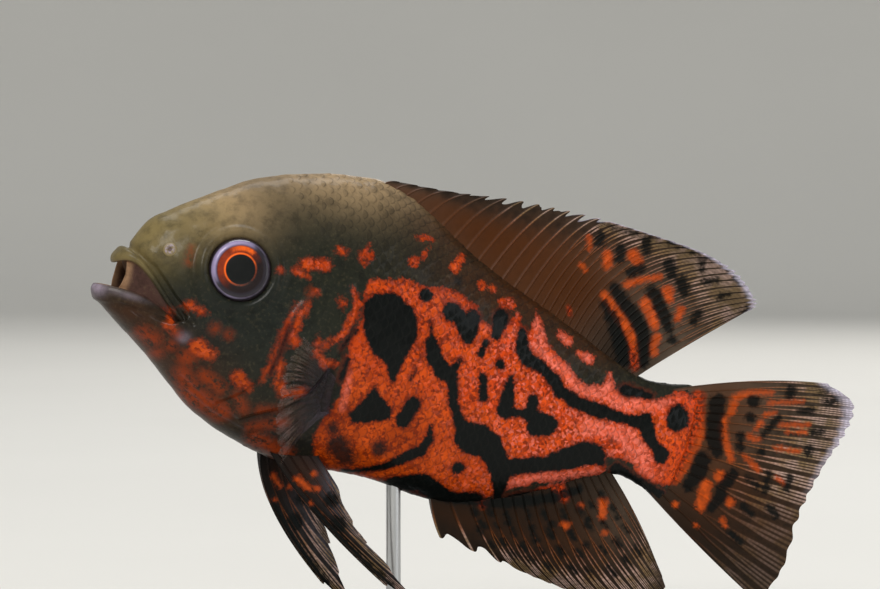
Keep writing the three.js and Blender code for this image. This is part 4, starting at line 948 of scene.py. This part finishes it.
def add_fin(node, keys, look, size, finish, ground, orange, black, steps, rows, notch, sheath,
            wave=0.0, spines=0.0, pleat=0.16, rim=None, body=False):
    """A fin as one thin closed sheet. Its two faces stand half a thickness to each side of the fan of rays:
    membrane, plus a ridge on each ray that forks twice towards the edge, plus the scaly sheath at the root.
    rim holds the rays between which a pale rim sets in, its start along a ray, and how much earlier it
    starts on the first rays. With body, the flank's markings run on over the fin's root."""
    last = keys[-1, 0]
    across = int(round(last * steps))
    ray, t = np.meshgrid(np.linspace(0, last, across + 1), np.linspace(0, 1, rows + 1), indexing="ij")
    off = np.abs(ray - np.round(ray))
    spiny = 1 - smooth(ray, spines - 0.5, spines + 0.5) if spines else np.zeros_like(ray)
    short = notch + (size["spine_notch"] - notch) * spiny
    notched = short * smooth(off, 0.03, 0.36) * (0.8 + 0.4 * np.sin(ray * 5.1))
    reach = t * (1 - notched - 0.006 * (1 + np.sin(ray * 7.3)) * (1 - spiny))
    fork = 0.2 * smooth(reach, 0.35, 0.6) * (1 - spiny)
    fork_again = 0.1 * smooth(reach, 0.62, 0.85) * (1 - spiny)
    ridge = hump(np.abs(off - fork) - fork_again, 0.085 - 0.02 * reach)
    p = fin_ray(keys, ray, reach)
    e = 0.004
    over = fin_ray(keys, np.minimum(ray + e, last), reach) - fin_ray(keys, np.maximum(ray - e, 0), reach)
    out = fin_ray(keys, ray, np.minimum(reach + e, 1)) - fin_ray(keys, ray, np.maximum(reach - e, 0))
    normal = unit(np.cross(over, out))
    root, tip = (fin_ray(keys, ray[:, :1], np.full((across + 1, 1), end)) for end in (0.0, 1.0))
    along = reach * np.linalg.norm(tip - root, axis=-1)
    edge = smooth(t, 0.93, 1.0)
    half = (0.42 - 0.24 * reach) * (1 - 0.55 * edge) + sheath * hump(along, 6.0)
    half += size["ray_lift"] * ridge * (1 - 0.6 * reach) * (1 - 0.7 * edge)
    p[..., 1] += wave * reach ** 2 * np.sin(p[..., 0] / 9)
    p += normal * (pleat * reach * np.cos(2 * math.pi * ray) + 0.1 * reach * np.sin(ray * 1.7))[..., None]
    points = np.stack([p + normal * half[..., None], p - normal * half[..., None]]).reshape(-1, 3)
    side = (across + 1) * (rows + 1)
    c, r = np.meshgrid(np.arange(across), np.arange(rows), indexing="ij")
    at = (c * (rows + 1) + r).ravel()
    top = np.stack([at, at + rows + 1, at + rows + 2, at + 1], -1)

    def wall(a, b):
        return np.stack([a, a + side, b + side, b], -1)

    column = np.arange(across) * (rows + 1)
    row = np.arange(rows)
    walls = np.concatenate([
        wall(column, column + rows + 1), wall(column + 2 * rows + 1, column + rows),
        wall(row + 1, row), wall(across * (rows + 1) + row, across * (rows + 1) + row + 1),
    ])
    spot = p.reshape(-1, 3)
    hot, dark = (least_gap(spot, fin_lines(keys, lines)) if lines else np.full(len(spot), 9.0)
                 for lines in (orange, black))
    if body:
        gaps = markings(spot * [1, 0, 1])
        beyond = 4.8 * smooth(along.ravel(), 3.0, 9.0)
        hot = np.minimum(hot, gaps[0] + beyond)
        dark = np.minimum(dark, gaps[1] + beyond)
    pale = np.zeros_like(ray)
    if rim:
        low, high, start, earlier = rim
        pale = smooth(ray, low, high) * smooth(t, start - earlier * (1 - smooth(ray, 1, 6)), 0.99)

    def doubled(*columns):
        return np.tile(np.column_stack([values.ravel() for values in columns]), (2, 1))

    base = soft_patches(np.stack([ray, reach], -1), look, *ground).reshape(-1, 3)
    return add_piece(
        node + "_web", place(points), [top, top[:, ::-1] + side, walls], finish, (node,),
        values={"straight": points, "marks": doubled(hot, dark, pale), "fin": doubled(ridge, reach, along)},
        colours={"ground": np.tile(base, (2, 1))}, sharp=math.radians(50))


# Settings

def length(name, mm, description):
    return FloatProperty(name=name, description=description, default=mm * MM, min=0.0, unit="LENGTH",
                         precision=5)


def paint(name, code, description):
    return FloatVectorProperty(name=name, description=description, default=tint(code), size=3, min=0.0,
                               max=1.0, subtype="COLOR")


class OscarSizes(bpy.types.PropertyGroup):
    eye_x: length("Eye from the snout", 31.95, "Distance of the eye's middle from the snout")
    eye_z: length("Eye above the mid line", 10.6, "Height of the eye's middle in the straight fish")
    lid_lift: length("Lid fold", 1.0, "How far the fold of skin round the eye stands proud")
    gill_lift: length("Gill cover", 0.6, "How far the gill cover stands proud of the skin")
    scale_length: length("Scale length", 4.4, "Length of one scale, from its hidden root to its free edge")
    scale_width: length("Scale width", 4.0, "Width of one scale")
    scale_lift: length("Scale edge", 0.13, "Height of a scale's free edge above the skin")
    ray_lift: length("Ray ridge", 0.3, "Height of a fin ray above the membrane")
    base_length: length("Base length", 124, "Length of the oval base")
    base_width: length("Base width", 76, "Width of the oval base")
    base_height: length("Base height", 10, "Thickness of the base")
    rod_radius: length("Rod radius", 2, "Radius of the steel rod")
    scale_seed: IntProperty(name="Scale seed", default=7,
                            description="Seed of the small differences between scales")
    spine_notch: FloatProperty(name="Spine notch", default=0.16, min=0.0, max=0.5, subtype="FACTOR",
                               description="How far the membrane falls short of the spine tips")


class OscarColours(bpy.types.PropertyGroup):
    # Painted light: the olive back made paler on the nape and forehead, as lit from above
    olive: paint("Olive back", "a68c68", "Lit olive of the nape and forehead")
    snout: paint("Snout", "83734a", "Snout and lips")
    dusk: paint("Dusky flank", "24261d", "Grey-olive between the markings")
    cheek: paint("Cheek", "1f2421", "Dark grey-green of the cheek and gill cover")
    brown: paint("Fin base brown", "48260f", "Brown below the dorsal fin")
    jaw: paint("Jaw", "3c2212", "Reddish brown of the lower jaw and throat")
    belly: paint("Belly", "191614", "Sooty belly and pectoral root")
    lip: paint("Inner lip", "96755a", "Pale front edge of the gape")
    inner: paint("Mouth wall", "4c3630", "Brown skin between the jaws")
    lip_tip: paint("Lip tip", "a597a8", "Violet-white tip of the lower lip and corner of the mouth")
    mouth: paint("Mouth", "4c3528", "Inside of the mouth")
    speckle: paint("Speckle", "8b7c58", "Fine pale speckle of the skin")
    orange: paint("Orange", "dc470c", "Orange of the upper and rear flank")
    orange_low: paint("Burnt orange", "ae3f02", "Browner orange of the front and belly")
    orange_deep: paint("Deep orange", "6c1c04", "Dark red-orange of edges and grain")
    orange_bright: paint("Bright orange", "ee5f16", "Brightest orange")
    # Painted sheen: the pink glints and strokes along the tail
    pink: paint("Pink", "fb7c66", "Pink sheen along the tail")
    rust: paint("Rust", "8a3208", "Rust stains of the jaw and cheek")
    black: paint("Black", "050908", "Black markings")
    fin_orange: paint("Fin orange", "c04c10", "Orange marks of the fins")
    ray: paint("Fin rays", "c6a79a", "Pale fin rays")
    ray_tan: paint("Tan fin rays", "8e7654", "Olive-tan stretches of the outer rays")
    ray_inner: paint("Inner fin rays", "9c5426", "Orange-brown inner part of the rays")
    web: paint("Fin membrane", "1a130c", "Dusky fin membrane")
    rim: paint("Fin rim", "d9d2e6", "Violet-white rim of the fins")
    fin_brown: paint("Fin brown", "522a0b", "Brown of the dorsal fin's front")
    fin_grey: paint("Fin grey", "665648", "Grey-brown of the outer fins")
    fin_dark: paint("Fin dark", "1f150c", "Dark part of the fins")
    pelvic: paint("Pelvic fin", "0e0f10", "Near-black pelvic fins")
    pectoral: paint("Pectoral fin", "5f5a68", "Clear grey-violet pectoral fins")
    # Painted light: iris is the lit front of the iris and eye_dark its shaded back
    iris: paint("Iris", "a0360a", "Red-brown front of the iris")
    iris_ring: paint("Iris ring", "ff6a14", "Thin bright ring round the pupil and patch above it")
    eye_dark: paint("Eye dark", "1d1314", "Dark brown back of the iris")
    eye_rim: paint("Eye rim", "262129", "Dark violet rim of the eye")
    # Painted highlight: the violet sheen on the rim of the eye
    eye_sheen: paint("Eye sheen", "a99bc4", "Violet sheen on the front of the eye")
    base: paint("Base", "191a1c", "Satin black base")
    floor: paint("Floor", "dedcd6", "Plain pale floor")


def sizes():
    """The sizes of the fish and stand in millimetres, and its plain factors."""
    held = bpy.context.scene.oscar_sizes
    plain = ("scale_seed", "spine_notch")
    return {key: getattr(held, key) if key in plain else getattr(held, key) / MM
            for key in OscarSizes.__annotations__}


# Operators

class OSCAR_OT_stage(bpy.types.Operator):
    """Sets the pale floor, the soft lamps and the camera"""
    bl_idname = "oscar.stage"
    bl_label = "Stage"

    def execute(self, context):
        scene = context.scene
        look = scene.oscar_colours
        turn, reach = np.meshgrid(circle(FLOOR_ROUND), np.linspace(0, 1, FLOOR_RINGS + 1)[1:])
        # The floor is round, and rises by the square of the distance past three fifths of its radius
        rise = FLOOR_RISE * np.clip((reach - 0.6) / 0.4, 0, 1) ** 2
        far = FLOOR_RADIUS * reach
        rings = np.stack([far * np.cos(turn), far * np.sin(turn), rise], -1)
        points = np.concatenate([rings.reshape(-1, 3), [[0, 0, 0]]])
        quads, caps = tube_faces(FLOOR_RINGS, FLOOR_ROUND)
        mesh = bpy.data.meshes.new("floor")
        mesh.from_pydata(points.tolist(), [], quads[:, ::-1].tolist() + caps[:FLOOR_ROUND, ::-1].tolist())
        mesh.polygons.foreach_set("use_smooth", np.ones(len(mesh.polygons), bool))
        f = Finish("pale_floor")
        where = f.node("ShaderNodeTexCoord", out="Object")
        cloudy = f.noise(where, 3.0, 3.0)
        mesh.materials.append(f.shell({
            "Base Color": f.mix(cloudy.rise(0.3, 0.8) * 0.08, look.floor, (0.5, 0.48, 0.45)),
            "Roughness": 0.75, "Normal": f.bump(f.noise(where, 400.0), 0.0002, 0.2)}))
        floor = bpy.data.objects.new("floor", mesh)
        scene.collection.objects.link(floor)

        def set_down(name, data, at, aim):
            """Puts a lamp or the camera at a place, facing another."""
            made = bpy.data.objects.new(name, data)
            made.location = at
            made.rotation_euler = (Vector(aim) - Vector(at)).to_track_quat("-Z", "Y").to_euler()
            scene.collection.objects.link(made)
            return made

        for name, at, power, width, height, colour in LAMPS:
            data = bpy.data.lights.new(name, "AREA")
            data.shape = "RECTANGLE"
            data.size, data.size_y = width, height
            data.energy = power
            data.color = colour
            set_down(name, data, at, LAMP_AIM)

        world = bpy.data.worlds.new("soft_daylight")
        world.use_nodes = True
        light = world.node_tree.nodes["Background"].inputs
        light["Color"].default_value = (0.86, 0.88, 0.9, 1)
        light["Strength"].default_value = 0.42
        scene.world = world
        scene.view_settings.view_transform = "Standard"

        camera = bpy.data.cameras.new("camera")
        camera.lens = CAMERA_LENS
        camera.sensor_width = 36.0
        camera.clip_start = 0.01
        scene.camera = set_down("camera", camera, CAMERA_PLACE, CAMERA_AIM)
        return {"FINISHED"}


def skin_rings(count):
    """Section numbers spaced by arc length along the skin, a little closer on the head."""
    fine = np.linspace(0, LAST_SECTION, 1400)
    lines = skin_point(fine[:, None], np.linspace(0.2, math.pi - 0.2, 9)[None, :])
    steps = np.linalg.norm(np.diff(lines, axis=0), axis=-1).mean(1)
    middle = (fine[1:] + fine[:-1]) / 2
    weight = steps * np.where(middle < 15.5, 1.35, 0.85)
    run = np.concatenate([[0], np.cumsum(weight)])
    return np.interp(np.linspace(0, run[-1], count), run, fine)


def skin_layers(p, ring, look, plate):
    """Attributes shared by skin and scales. plate holds the closeness to a scale's rim, how far inside the
    mouth a point lies, and the scale's own shade."""
    orange, black, pink, rust, grey = markings(p)
    return ({"straight": p, "marks": np.stack([orange, black, pink], -1),
             "stains": np.stack([rust, grey, plate[..., 2]], -1), "plate": plate},
            {"ground": skin_ground(p, ring, look)})


class OSCAR_OT_skin(bpy.types.Operator):
    """Makes one skin from the throat to the tail root"""
    bl_idname = "oscar.skin"
    bl_label = "Skin"

    def execute(self, context):
        look = context.scene.oscar_colours
        size = sizes()
        ring, turn = np.meshgrid(skin_rings(SKIN_ROWS), circle(SKIN_ROUND), indexing="ij")
        points = with_poles(surface(ring, turn, np.zeros_like(ring), size))
        bare = with_poles(skin_point(ring, turn))
        rings = with_poles(ring[..., None])[:, 0]
        plate = np.zeros((len(points), 3))
        plate[:, 1] = 1 - smooth(rings, 3.8, 4.4)
        plate[:, 2] = -0.6
        values, colours = skin_layers(bare, rings, look, plate)
        add_piece("fish_skin", place(points), tube_faces(SKIN_ROWS, SKIN_ROUND), skin_finish(look),
                  ("head", "lower_jaw", "gill_cover_left", "gill_cover_right", "trunk", "tail_stem"),
                  values, colours)
        return {"FINISHED"}


def scale_roots(left):
    """Ring and turn of every scale of one side: columns half a scale apart along the flank, each shifted
    half a row from the last, kept where the body is scaled."""
    fine = np.linspace(12, LAST_SECTION - 0.4, 700)
    side = skin_point(fine, np.full(700, math.pi / 2))[:, 0]
    columns = np.arange(side[0], side[-1], SCALE_COLUMN_STEP)
    found = []
    for n, ring in enumerate(np.interp(columns, side, fine)):
        turns = np.linspace(0.015, math.pi - 0.015, 500)
        line = skin_point(np.full(500, ring), turns)
        run = run_along(line)
        middle = np.interp(math.pi / 2, turns, run)
        rows = (np.arange(-30, 31) + (n % 2) / 2) * SCALE_ROW_STEP + middle
        rows = rows[(rows > 0.5) & (rows < run[-1] - 0.5)]
        turn = np.interp(rows, run, turns)
        p = skin_point(np.full(len(turn), ring), turn)
        keep = outline_gap(side_view(p), SCALED) < -0.2
        found.append(np.column_stack([np.full(keep.sum(), ring), turn[keep]]))
    roots = np.concatenate(found)
    if not left:
        roots[:, 1] = 2 * math.pi - roots[:, 1]
    return roots


def scale_shape(corners=12):
    """Points of one scale in its own plane, u along and v across: its middle, a ring, its edge, and the
    underside of the edge. Then how far out each point lies, and the faces that join and close them."""
    angle = np.concatenate([[0.0], np.tile(circle(corners), 3)])
    out = np.concatenate([[0.0], np.repeat([0.58, 1.0, 0.94], corners)])
    inner = 1 + np.arange(corners)
    beside = 1 + (np.arange(corners) + 1) % corners
    first = 1 + 2 * corners
    m = np.arange(corners - 2, 0, -1)
    faces = [
        [np.zeros(corners, int), inner, beside],
        [inner, corners + inner, corners + beside, beside],
        [corners + inner, 2 * corners + inner, 2 * corners + beside, corners + beside],
        [np.full(len(m), first), first + m + 1, first + m],
    ]
    return (out * np.cos(angle), out * np.sin(angle) * (1 - 0.12 * np.cos(angle)), out,
            np.arange(len(out)) >= first, [np.stack(part, -1) for part in faces])


def lay_scales(name, left, draw, look, size):
    """One side's scales as one piece. A scale's points are found from its root by ring and turn: the skin's
    slopes along and across give the two unit directions of its plane, and a step in that plane is turned
    into steps of ring and turn by inverting the two by two table of the slopes' products."""
    u, v, out, under, shape = scale_shape()
    ring0, turn0 = scale_roots(left).T
    count = len(ring0)
    along, across = skin_slopes(ring0, turn0)
    x = skin_point(ring0, turn0)[:, 0]
    grown = (0.78 + 0.22 * smooth(x, 50, 75)) * (1 - 0.18 * smooth(x, 135, 165))
    grown = grown * draw.uniform(0.95, 1.06, count)
    a = grown[:, None] * u * size["scale_length"] / 2
    b = grown[:, None] * v * size["scale_width"] / 2
    ahead = unit(along)
    side = unit(across - (across * ahead).sum(1, keepdims=True) * ahead)
    shift = a[..., None] * ahead[:, None] + b[..., None] * side[:, None]
    aa, ab, bb = ((first * second).sum(1)[:, None]
                  for first, second in ((along, along), (along, across), (across, across)))
    shift_a, shift_b = ((shift * slope[:, None]).sum(-1) for slope in (along, across))
    spread = aa * bb - ab * ab
    ring = np.clip(ring0[:, None] + (bb * shift_a - ab * shift_b) / spread, 8, LAST_SECTION)
    turn = turn0[:, None] + (aa * shift_b - ab * shift_a) / spread
    tilt = draw.uniform(0.85, 1.2, count)[:, None]
    lift = (-0.08 + (size["scale_lift"] + 0.08) * u) * tilt
    lift += 0.05 * (1 - out ** 2) - 0.2 * smooth(-u, 0.2, 1.0) - 0.13 * under
    points = surface(ring, turn, lift, size)
    start = (np.arange(count) * len(out))[:, None, None]
    faces = [((part[:, ::-1] if left else part)[None] + start).reshape(-1, part.shape[1]) for part in shape]
    hue = draw.uniform(-1, 1, count)
    plate = np.stack(np.broadcast_arrays(out * smooth(u, -0.3, 0.6), 0.0, hue[:, None]), -1)
    unwrap = np.stack([ring0 / LAST_SECTION, turn0 / (2 * math.pi)], -1)[:, None]
    patches = unwrap + 0.0015 * np.stack([u, v], -1)[None]
    bare = skin_point(ring, turn).reshape(-1, 3)
    values, colours = skin_layers(bare, ring.ravel(), look, plate.reshape(-1, 3))
    add_piece(name, place(points.reshape(-1, 3)), faces, skin_finish(look), (), values, colours,
              patches=patches, sharp=math.radians(35))


class OSCAR_OT_scales(bpy.types.Operator):
    """Lays the overlapping scales on both flanks"""
    bl_idname = "oscar.scales"
    bl_label = "Scales"

    def execute(self, context):
        size = sizes()
        draw = np.random.default_rng(size["scale_seed"])
        for side, left in SIDES:
            lay_scales("scales_" + side, left, draw, context.scene.oscar_colours, size)
        return {"FINISHED"}


def lathe(profile, centre, axis, hint, count, inside=0.0):
    """A profile of [radius, height] turned round an axis and closed by its first and last points, which lie
    on it. Gives the points, their radii and the faces, turned to look away from a place inside, so far down
    the axis."""
    profile = np.asarray(profile, float)
    down = inside * axis
    axis = unit(axis)
    first = unit(np.cross(hint, axis))
    second = np.cross(axis, first)
    turn = circle(count)
    spoke = np.cos(turn)[:, None] * first + np.sin(turn)[:, None] * second
    body = profile[1:-1]
    grid = centre + body[:, 0, None, None] * spoke + body[:, 1, None, None] * axis
    points = np.concatenate([grid.reshape(-1, 3), centre + profile[[0, -1], 1][:, None] * axis])
    faces = tube_faces(len(body), count)
    corner, ahead, _, beside = (points[faces[0][:, k]] for k in range(4))
    if (np.cross(ahead - corner, beside - corner) * (corner - centre + down)).sum() < 0:
        faces = [part[:, ::-1] for part in faces]
    return points, np.concatenate([np.repeat(body[:, 0], count), [0, 0]]), faces


def through(points, count):
    """A smooth line of count points through a few [radius, height] points, spaced by length."""
    points = np.asarray(points, float)
    knots = run_along(points)
    return curve_through(points, knots, np.linspace(0, knots[-1], count))


def seat(x, z, left, size):
    """Point and outward normal of the flank at x, z in side view."""
    ring, turn = on_flank(x, z, left)
    along, across = skin_slopes(ring[None], turn[None])
    return skin_point(ring, turn), unit(np.cross(across, along)[0])


def eye_finish(look):
    """The eye under one clear coat: black pupil, thin bright ring, dark iris with painted light that makes
    it red in front and orange on top, a dark violet rim, and a painted violet sheen on the rim's front and
    top."""
    f = Finish("eye_gloss")
    radius, front, high = f.parts(f.attribute("eye", "Vector"))
    round_ = f.node("ShaderNodeCombineXYZ", inputs={0: front * 2.6, 1: high * 2.6, 2: radius * 0.3})
    streaks = f.noise(round_, 2.0, 4.0, 0.6)
    cloud = f.noise(round_, 0.7, 2.0)
    # Painted light: the iris is red where it faces forward and up, towards the light, and dark brown
    # behind; its orange patch on top is painted light too
    lit = (front * 0.75 + high * 0.5 + (cloud - 0.5) * 0.8).rise(-0.35, 0.9)
    crown = (high + (streaks - 0.5) * 0.5 - (front - 0.2).math("ABSOLUTE") * 0.5).rise(0.45, 0.85)
    colour = f.mix(lit * (0.25 + streaks * 0.9), look.eye_dark, look.iris)
    colour = f.mix(crown * radius.rise(4.6, 5.4) * (0.3 + streaks * 0.9), colour, look.iris_ring)
    colour = f.mix(radius.rise(5.9, 6.5), colour, look.eye_rim)
    # Painted highlight: a violet sheen on the rim, strongest on its front and top, where the light falls
    sheen = radius.rise(6.1, 6.9) * radius.fall(7.1, 7.9)
    sheen = sheen * (front * 0.8 + high * 0.55 + cloud * 0.7).rise(0.35, 1.25)
    colour = f.mix(sheen * 0.9, colour, look.eye_sheen)
    # Painted highlight: a fainter line of the violet sheen round the rim, in patches and towards the front
    outer = radius.rise(7.2, 7.5) * radius.fall(7.6, 7.9) * (cloud * 0.45 + front * 0.2)
    colour = f.mix(outer, colour, look.eye_sheen)
    ring = radius.rise(3.9, 4.05) * radius.fall(4.2, 4.6)
    # The ring round the pupil is the eye's own orange, made brighter on its front and top as painted light
    ring = ring * (front * 0.5 + high * 0.4 + streaks * 0.6).rise(-0.4, 0.9)
    colour = f.mix(ring, colour, look.iris_ring)
    colour = f.mix(radius.fall(3.75, 4.0), colour, (0.002, 0.003, 0.003))
    colour = f.mix(radius.rise(7.9, 8.4), colour, look.eye_dark)
    grooves = streaks * radius.rise(3.9, 4.6) * radius.fall(6.0, 6.6)
    return f.shell({"Base Color": colour, "Roughness": 0.3 + streaks * 0.1, "Coat Weight": 0.6,
                    "Coat Roughness": 0.03, "Specular IOR Level": 0.12,
                    "Normal": f.bump(grooves, 0.0001, 0.4)})


class OSCAR_OT_eyes(bpy.types.Operator):
    """Sets both eyes in their sockets"""
    bl_idname = "oscar.eyes"
    bl_label = "Eyes"

    def execute(self, context):
        size = sizes()
        finish = eye_finish(context.scene.oscar_colours)
        dome = through(EYE_PROFILE, 60)
        for side, left in SIDES:
            point, _ = seat(size["eye_x"], size["eye_z"], left, size)
            axis = np.array([-0.2, -1.0 if left else 1.0, 0.1])
            points, radius, faces = lathe(dome, point, axis, [0.0, 0.0, 1.0], 72, inside=1.0)
            away = (points - point) / np.maximum(radius, 0.5)[:, None]
            values = {"straight": points, "eye": np.column_stack([radius, -away[:, 0], away[:, 2]])}
            add_piece(f"eye_{side}_ball", place(points), faces, finish, (f"eye_{side}",), values)
        return {"FINISHED"}


def nostril_finish(look):
    """A pale speckled ring round a dark hole, in the snout's colour at its foot."""
    f = Finish("nostril")
    radius, _, _ = f.parts(f.attribute("eye", "Vector"))
    speck = f.noise(f.attribute("straight", "Vector"), 1.6)
    pale = f.mix(speck.rise(0.3, 0.8), look.snout, look.lip_tip)
    colour = f.mix(radius.fall(0.35, 0.75), pale, look.mouth)
    colour = f.mix(radius.rise(1.2, 1.7), colour, look.snout)
    return f.shell({"Base Color": colour, "Roughness": 0.5 + speck * 0.1, "Coat Weight": 0.05,
                    "Normal": f.bump(speck, 0.0001, 0.5)})


class OSCAR_OT_nostrils(bpy.types.Operator):
    """Raises the small ring of each nostril"""
    bl_idname = "oscar.nostrils"
    bl_label = "Nostrils"

    def execute(self, context):
        size = sizes()
        finish = nostril_finish(context.scene.oscar_colours)
        ring = through(NOSTRIL_PROFILE, 30)
        for side, left in SIDES:
            point, normal = seat(*NOSTRIL, left, size)
            points, radius, faces = lathe(ring, point, normal, [0.0, 0.0, 1.0], 36)
            values = {"straight": points, "eye": np.column_stack([radius, radius, radius])}
            add_piece("nostril_" + side, place(points), faces, finish, (), values)
        return {"FINISHED"}


class OSCAR_OT_fins(bpy.types.Operator):
    """Spreads the dorsal, anal and tail fins"""
    bl_idname = "oscar.fins"
    bl_label = "Dorsal, anal and tail fins"

    def execute(self, context):
        look = context.scene.oscar_colours
        size = sizes()
        finish = fin_finish(look)
        draw = np.random.default_rng(size["scale_seed"])
        anal_spots = rows_of_spots(draw, (2, 17), 1.7, (0.2, 0.35, 0.5, 0.65), 0.9)
        add_fin("dorsal_fin", DORSAL, look, size, finish, DORSAL_GROUND, DORSAL_ORANGE, DORSAL_BLACK,
                steps=16, rows=80, notch=0.012, sheath=1.3, wave=0.5, spines=12.5,
                rim=(10, 12, 0.955, 0.0), body=True)
        add_fin("anal_fin", ANAL, look, size, finish, ANAL_GROUND, ANAL_ORANGE,
                ANAL_BLACK + anal_spots, steps=24, rows=80, notch=0.012, sheath=1.2, wave=0.5, spines=2.5)
        add_fin("tail_fin", CAUDAL, look, size, finish, CAUDAL_GROUND, CAUDAL_ORANGE, CAUDAL_BLACK,
                steps=32, rows=90, notch=0.006, sheath=1.5, wave=0.7, rim=(11, 4, 0.95, 0.07), body=True)
        return {"FINISHED"}


class OSCAR_OT_paired_fins(bpy.types.Operator):
    """Spreads the pelvic and pectoral fins"""
    bl_idname = "oscar.paired_fins"
    bl_label = "Pelvic and pectoral fins"

    def execute(self, context):
        look = context.scene.oscar_colours
        size = sizes()
        for name, keys in (("pelvic_fin_left", PELVIC_LEFT), ("pelvic_fin_right", PELVIC_RIGHT)):
            add_fin(name, keys, look, size, fin_finish(look), PELVIC_GROUND, PELVIC_ORANGE,
                    PELVIC_BLACK, steps=24, rows=84, notch=0.05, sheath=0.6, pleat=0.3)
        for name, keys in (("pectoral_fin_left", PECTORAL_LEFT), ("pectoral_fin_right", PECTORAL_RIGHT)):
            add_fin(name, keys, look, size, fin_finish(look, 0.93), PECTORAL_GROUND, (), (),
                    steps=12, rows=60, notch=0.012, sheath=0.8, pleat=0.25)
        return {"FINISHED"}


class OSCAR_OT_stand(bpy.types.Operator):
    """Makes the oval base and its steel rod"""
    bl_idname = "oscar.stand"
    bl_label = "Stand"

    def execute(self, context):
        look = context.scene.oscar_colours
        size = sizes()
        f = Finish("base_satin")
        where = f.node("ShaderNodeTexCoord", out="Object")
        grain = f.noise(where, 1400.0, 3.0)
        cloud = f.noise(where, 60.0, 3.0)
        satin = f.shell({"Base Color": f.mix(cloud.rise(0.3, 0.8) * 0.5, look.base, (0.018, 0.018, 0.02)),
                         "Roughness": 0.38 + cloud * 0.14, "Normal": f.bump(grain, 0.00004, 0.6)})
        # The base is a stack of ovals, each set in from the base's edge, with a rounded upper edge
        count = 160
        turn = circle(count)
        low = size["base_height"]
        bend = np.linspace(0, math.pi / 2, 9)
        rounding = 1.5
        out, up = rounding * (1 - np.sin(bend)), rounding * (1 - np.cos(bend))
        inset = np.concatenate([[14.0, 6.0, 2.4], out, up, [2.4, 6.0, 14.0, 24.0]])
        height = np.concatenate([[0.0, 0.0, 0.0], up, low - out, [low, low, low, low]])
        x = (size["base_length"] / 2 - inset)[:, None] * np.cos(turn)
        y = (size["base_width"] / 2 - inset)[:, None] * np.sin(turn)
        grid = np.stack([x, y, np.repeat(height[:, None], count, 1)], -1)
        add_piece("base_plate", with_poles(grid) * MM, tube_faces(len(inset), count), satin,
                  ("stand_base",), sharp=math.radians(40))
        f = Finish("rod_steel")
        where = f.node("ShaderNodeTexCoord", out="Object")
        drawn = f.noise(f.node("ShaderNodeVectorMath", {"operation": "MULTIPLY"},
                               {0: where, 1: (900.0, 900.0, 40.0)}), 1.0, 3.0)
        steel = f.shell({
            "Base Color": f.mix(drawn.rise(0.3, 0.8) * 0.4, (0.56, 0.57, 0.58), (0.4, 0.41, 0.42)),
            "Metallic": 1.0, "Roughness": 0.24 + drawn * 0.16, "Normal": f.bump(drawn, 0.00002, 0.6)})
        # The rod is a profile turned round the upright: a foot with a rounded edge, a fillet and the rod
        r = size["rod_radius"]
        fillet = np.linspace(0, math.pi / 2, 7)
        profile = np.concatenate([
            [[0, low + 0.05], [5.6, low + 0.05], [6.0, low + 0.35], [6.0, low + 1.2]],
            np.column_stack([6.0 - 1.0 * (1 - np.cos(fillet)), low + 1.2 + 0.8 * np.sin(fillet)])[1:],
            np.column_stack([r + 1.6 * (1 - np.sin(fillet)), low + 2.0 + 1.6 * (1 - np.cos(fillet))]),
            np.column_stack([np.full(12, r), np.linspace(low + 5, ROD_ROOT_HEIGHT + 5.5, 12)]),
            [[0, ROD_ROOT_HEIGHT + 5.8]],
        ])
        points, _, faces = lathe(profile, np.zeros(3), np.array([0.0, 0.0, 1.0]), [1.0, 0.0, 0.0], 48)
        add_piece("steel_rod", points * MM, faces, steel, ("stand_rod",),
                  sharp=math.radians(50))
        return {"FINISHED"}


class OSCAR_PT_panel(bpy.types.Panel):
    """Lists the steps and settings of the model"""
    bl_idname = "OSCAR_PT_panel"
    bl_label = "Tiger oscar"
    bl_space_type = "VIEW_3D"
    bl_region_type = "UI"
    bl_category = "Tiger oscar"

    def draw(self, context):
        for operator in OPERATORS:
            self.layout.operator(operator.bl_idname)
        for group in (context.scene.oscar_sizes, context.scene.oscar_colours):
            box = self.layout.box()
            for key in group.__annotations__:
                box.prop(group, key)


OPERATORS = (OSCAR_OT_stage, OSCAR_OT_skin, OSCAR_OT_scales, OSCAR_OT_eyes, OSCAR_OT_nostrils,
             OSCAR_OT_fins, OSCAR_OT_paired_fins, OSCAR_OT_stand)
CLASSES = (OscarSizes, OscarColours, *OPERATORS, OSCAR_PT_panel)


def register():
    for cls in CLASSES:
        bpy.utils.register_class(cls)
    bpy.types.Scene.oscar_sizes = PointerProperty(type=OscarSizes)
    bpy.types.Scene.oscar_colours = PointerProperty(type=OscarColours)


def unregister():
    del bpy.types.Scene.oscar_colours
    del bpy.types.Scene.oscar_sizes
    for cls in reversed(CLASSES):
        bpy.utils.unregister_class(cls)


def main():
    register()
    bpy.ops.oscar.stage()
    bpy.ops.oscar.skin()
    bpy.ops.oscar.scales()
    bpy.ops.oscar.eyes()
    bpy.ops.oscar.nostrils()
    bpy.ops.oscar.fins()
    bpy.ops.oscar.paired_fins()
    bpy.ops.oscar.stand()
    bpy.context.view_layer.update()


if __name__ == "__main__":
    main()
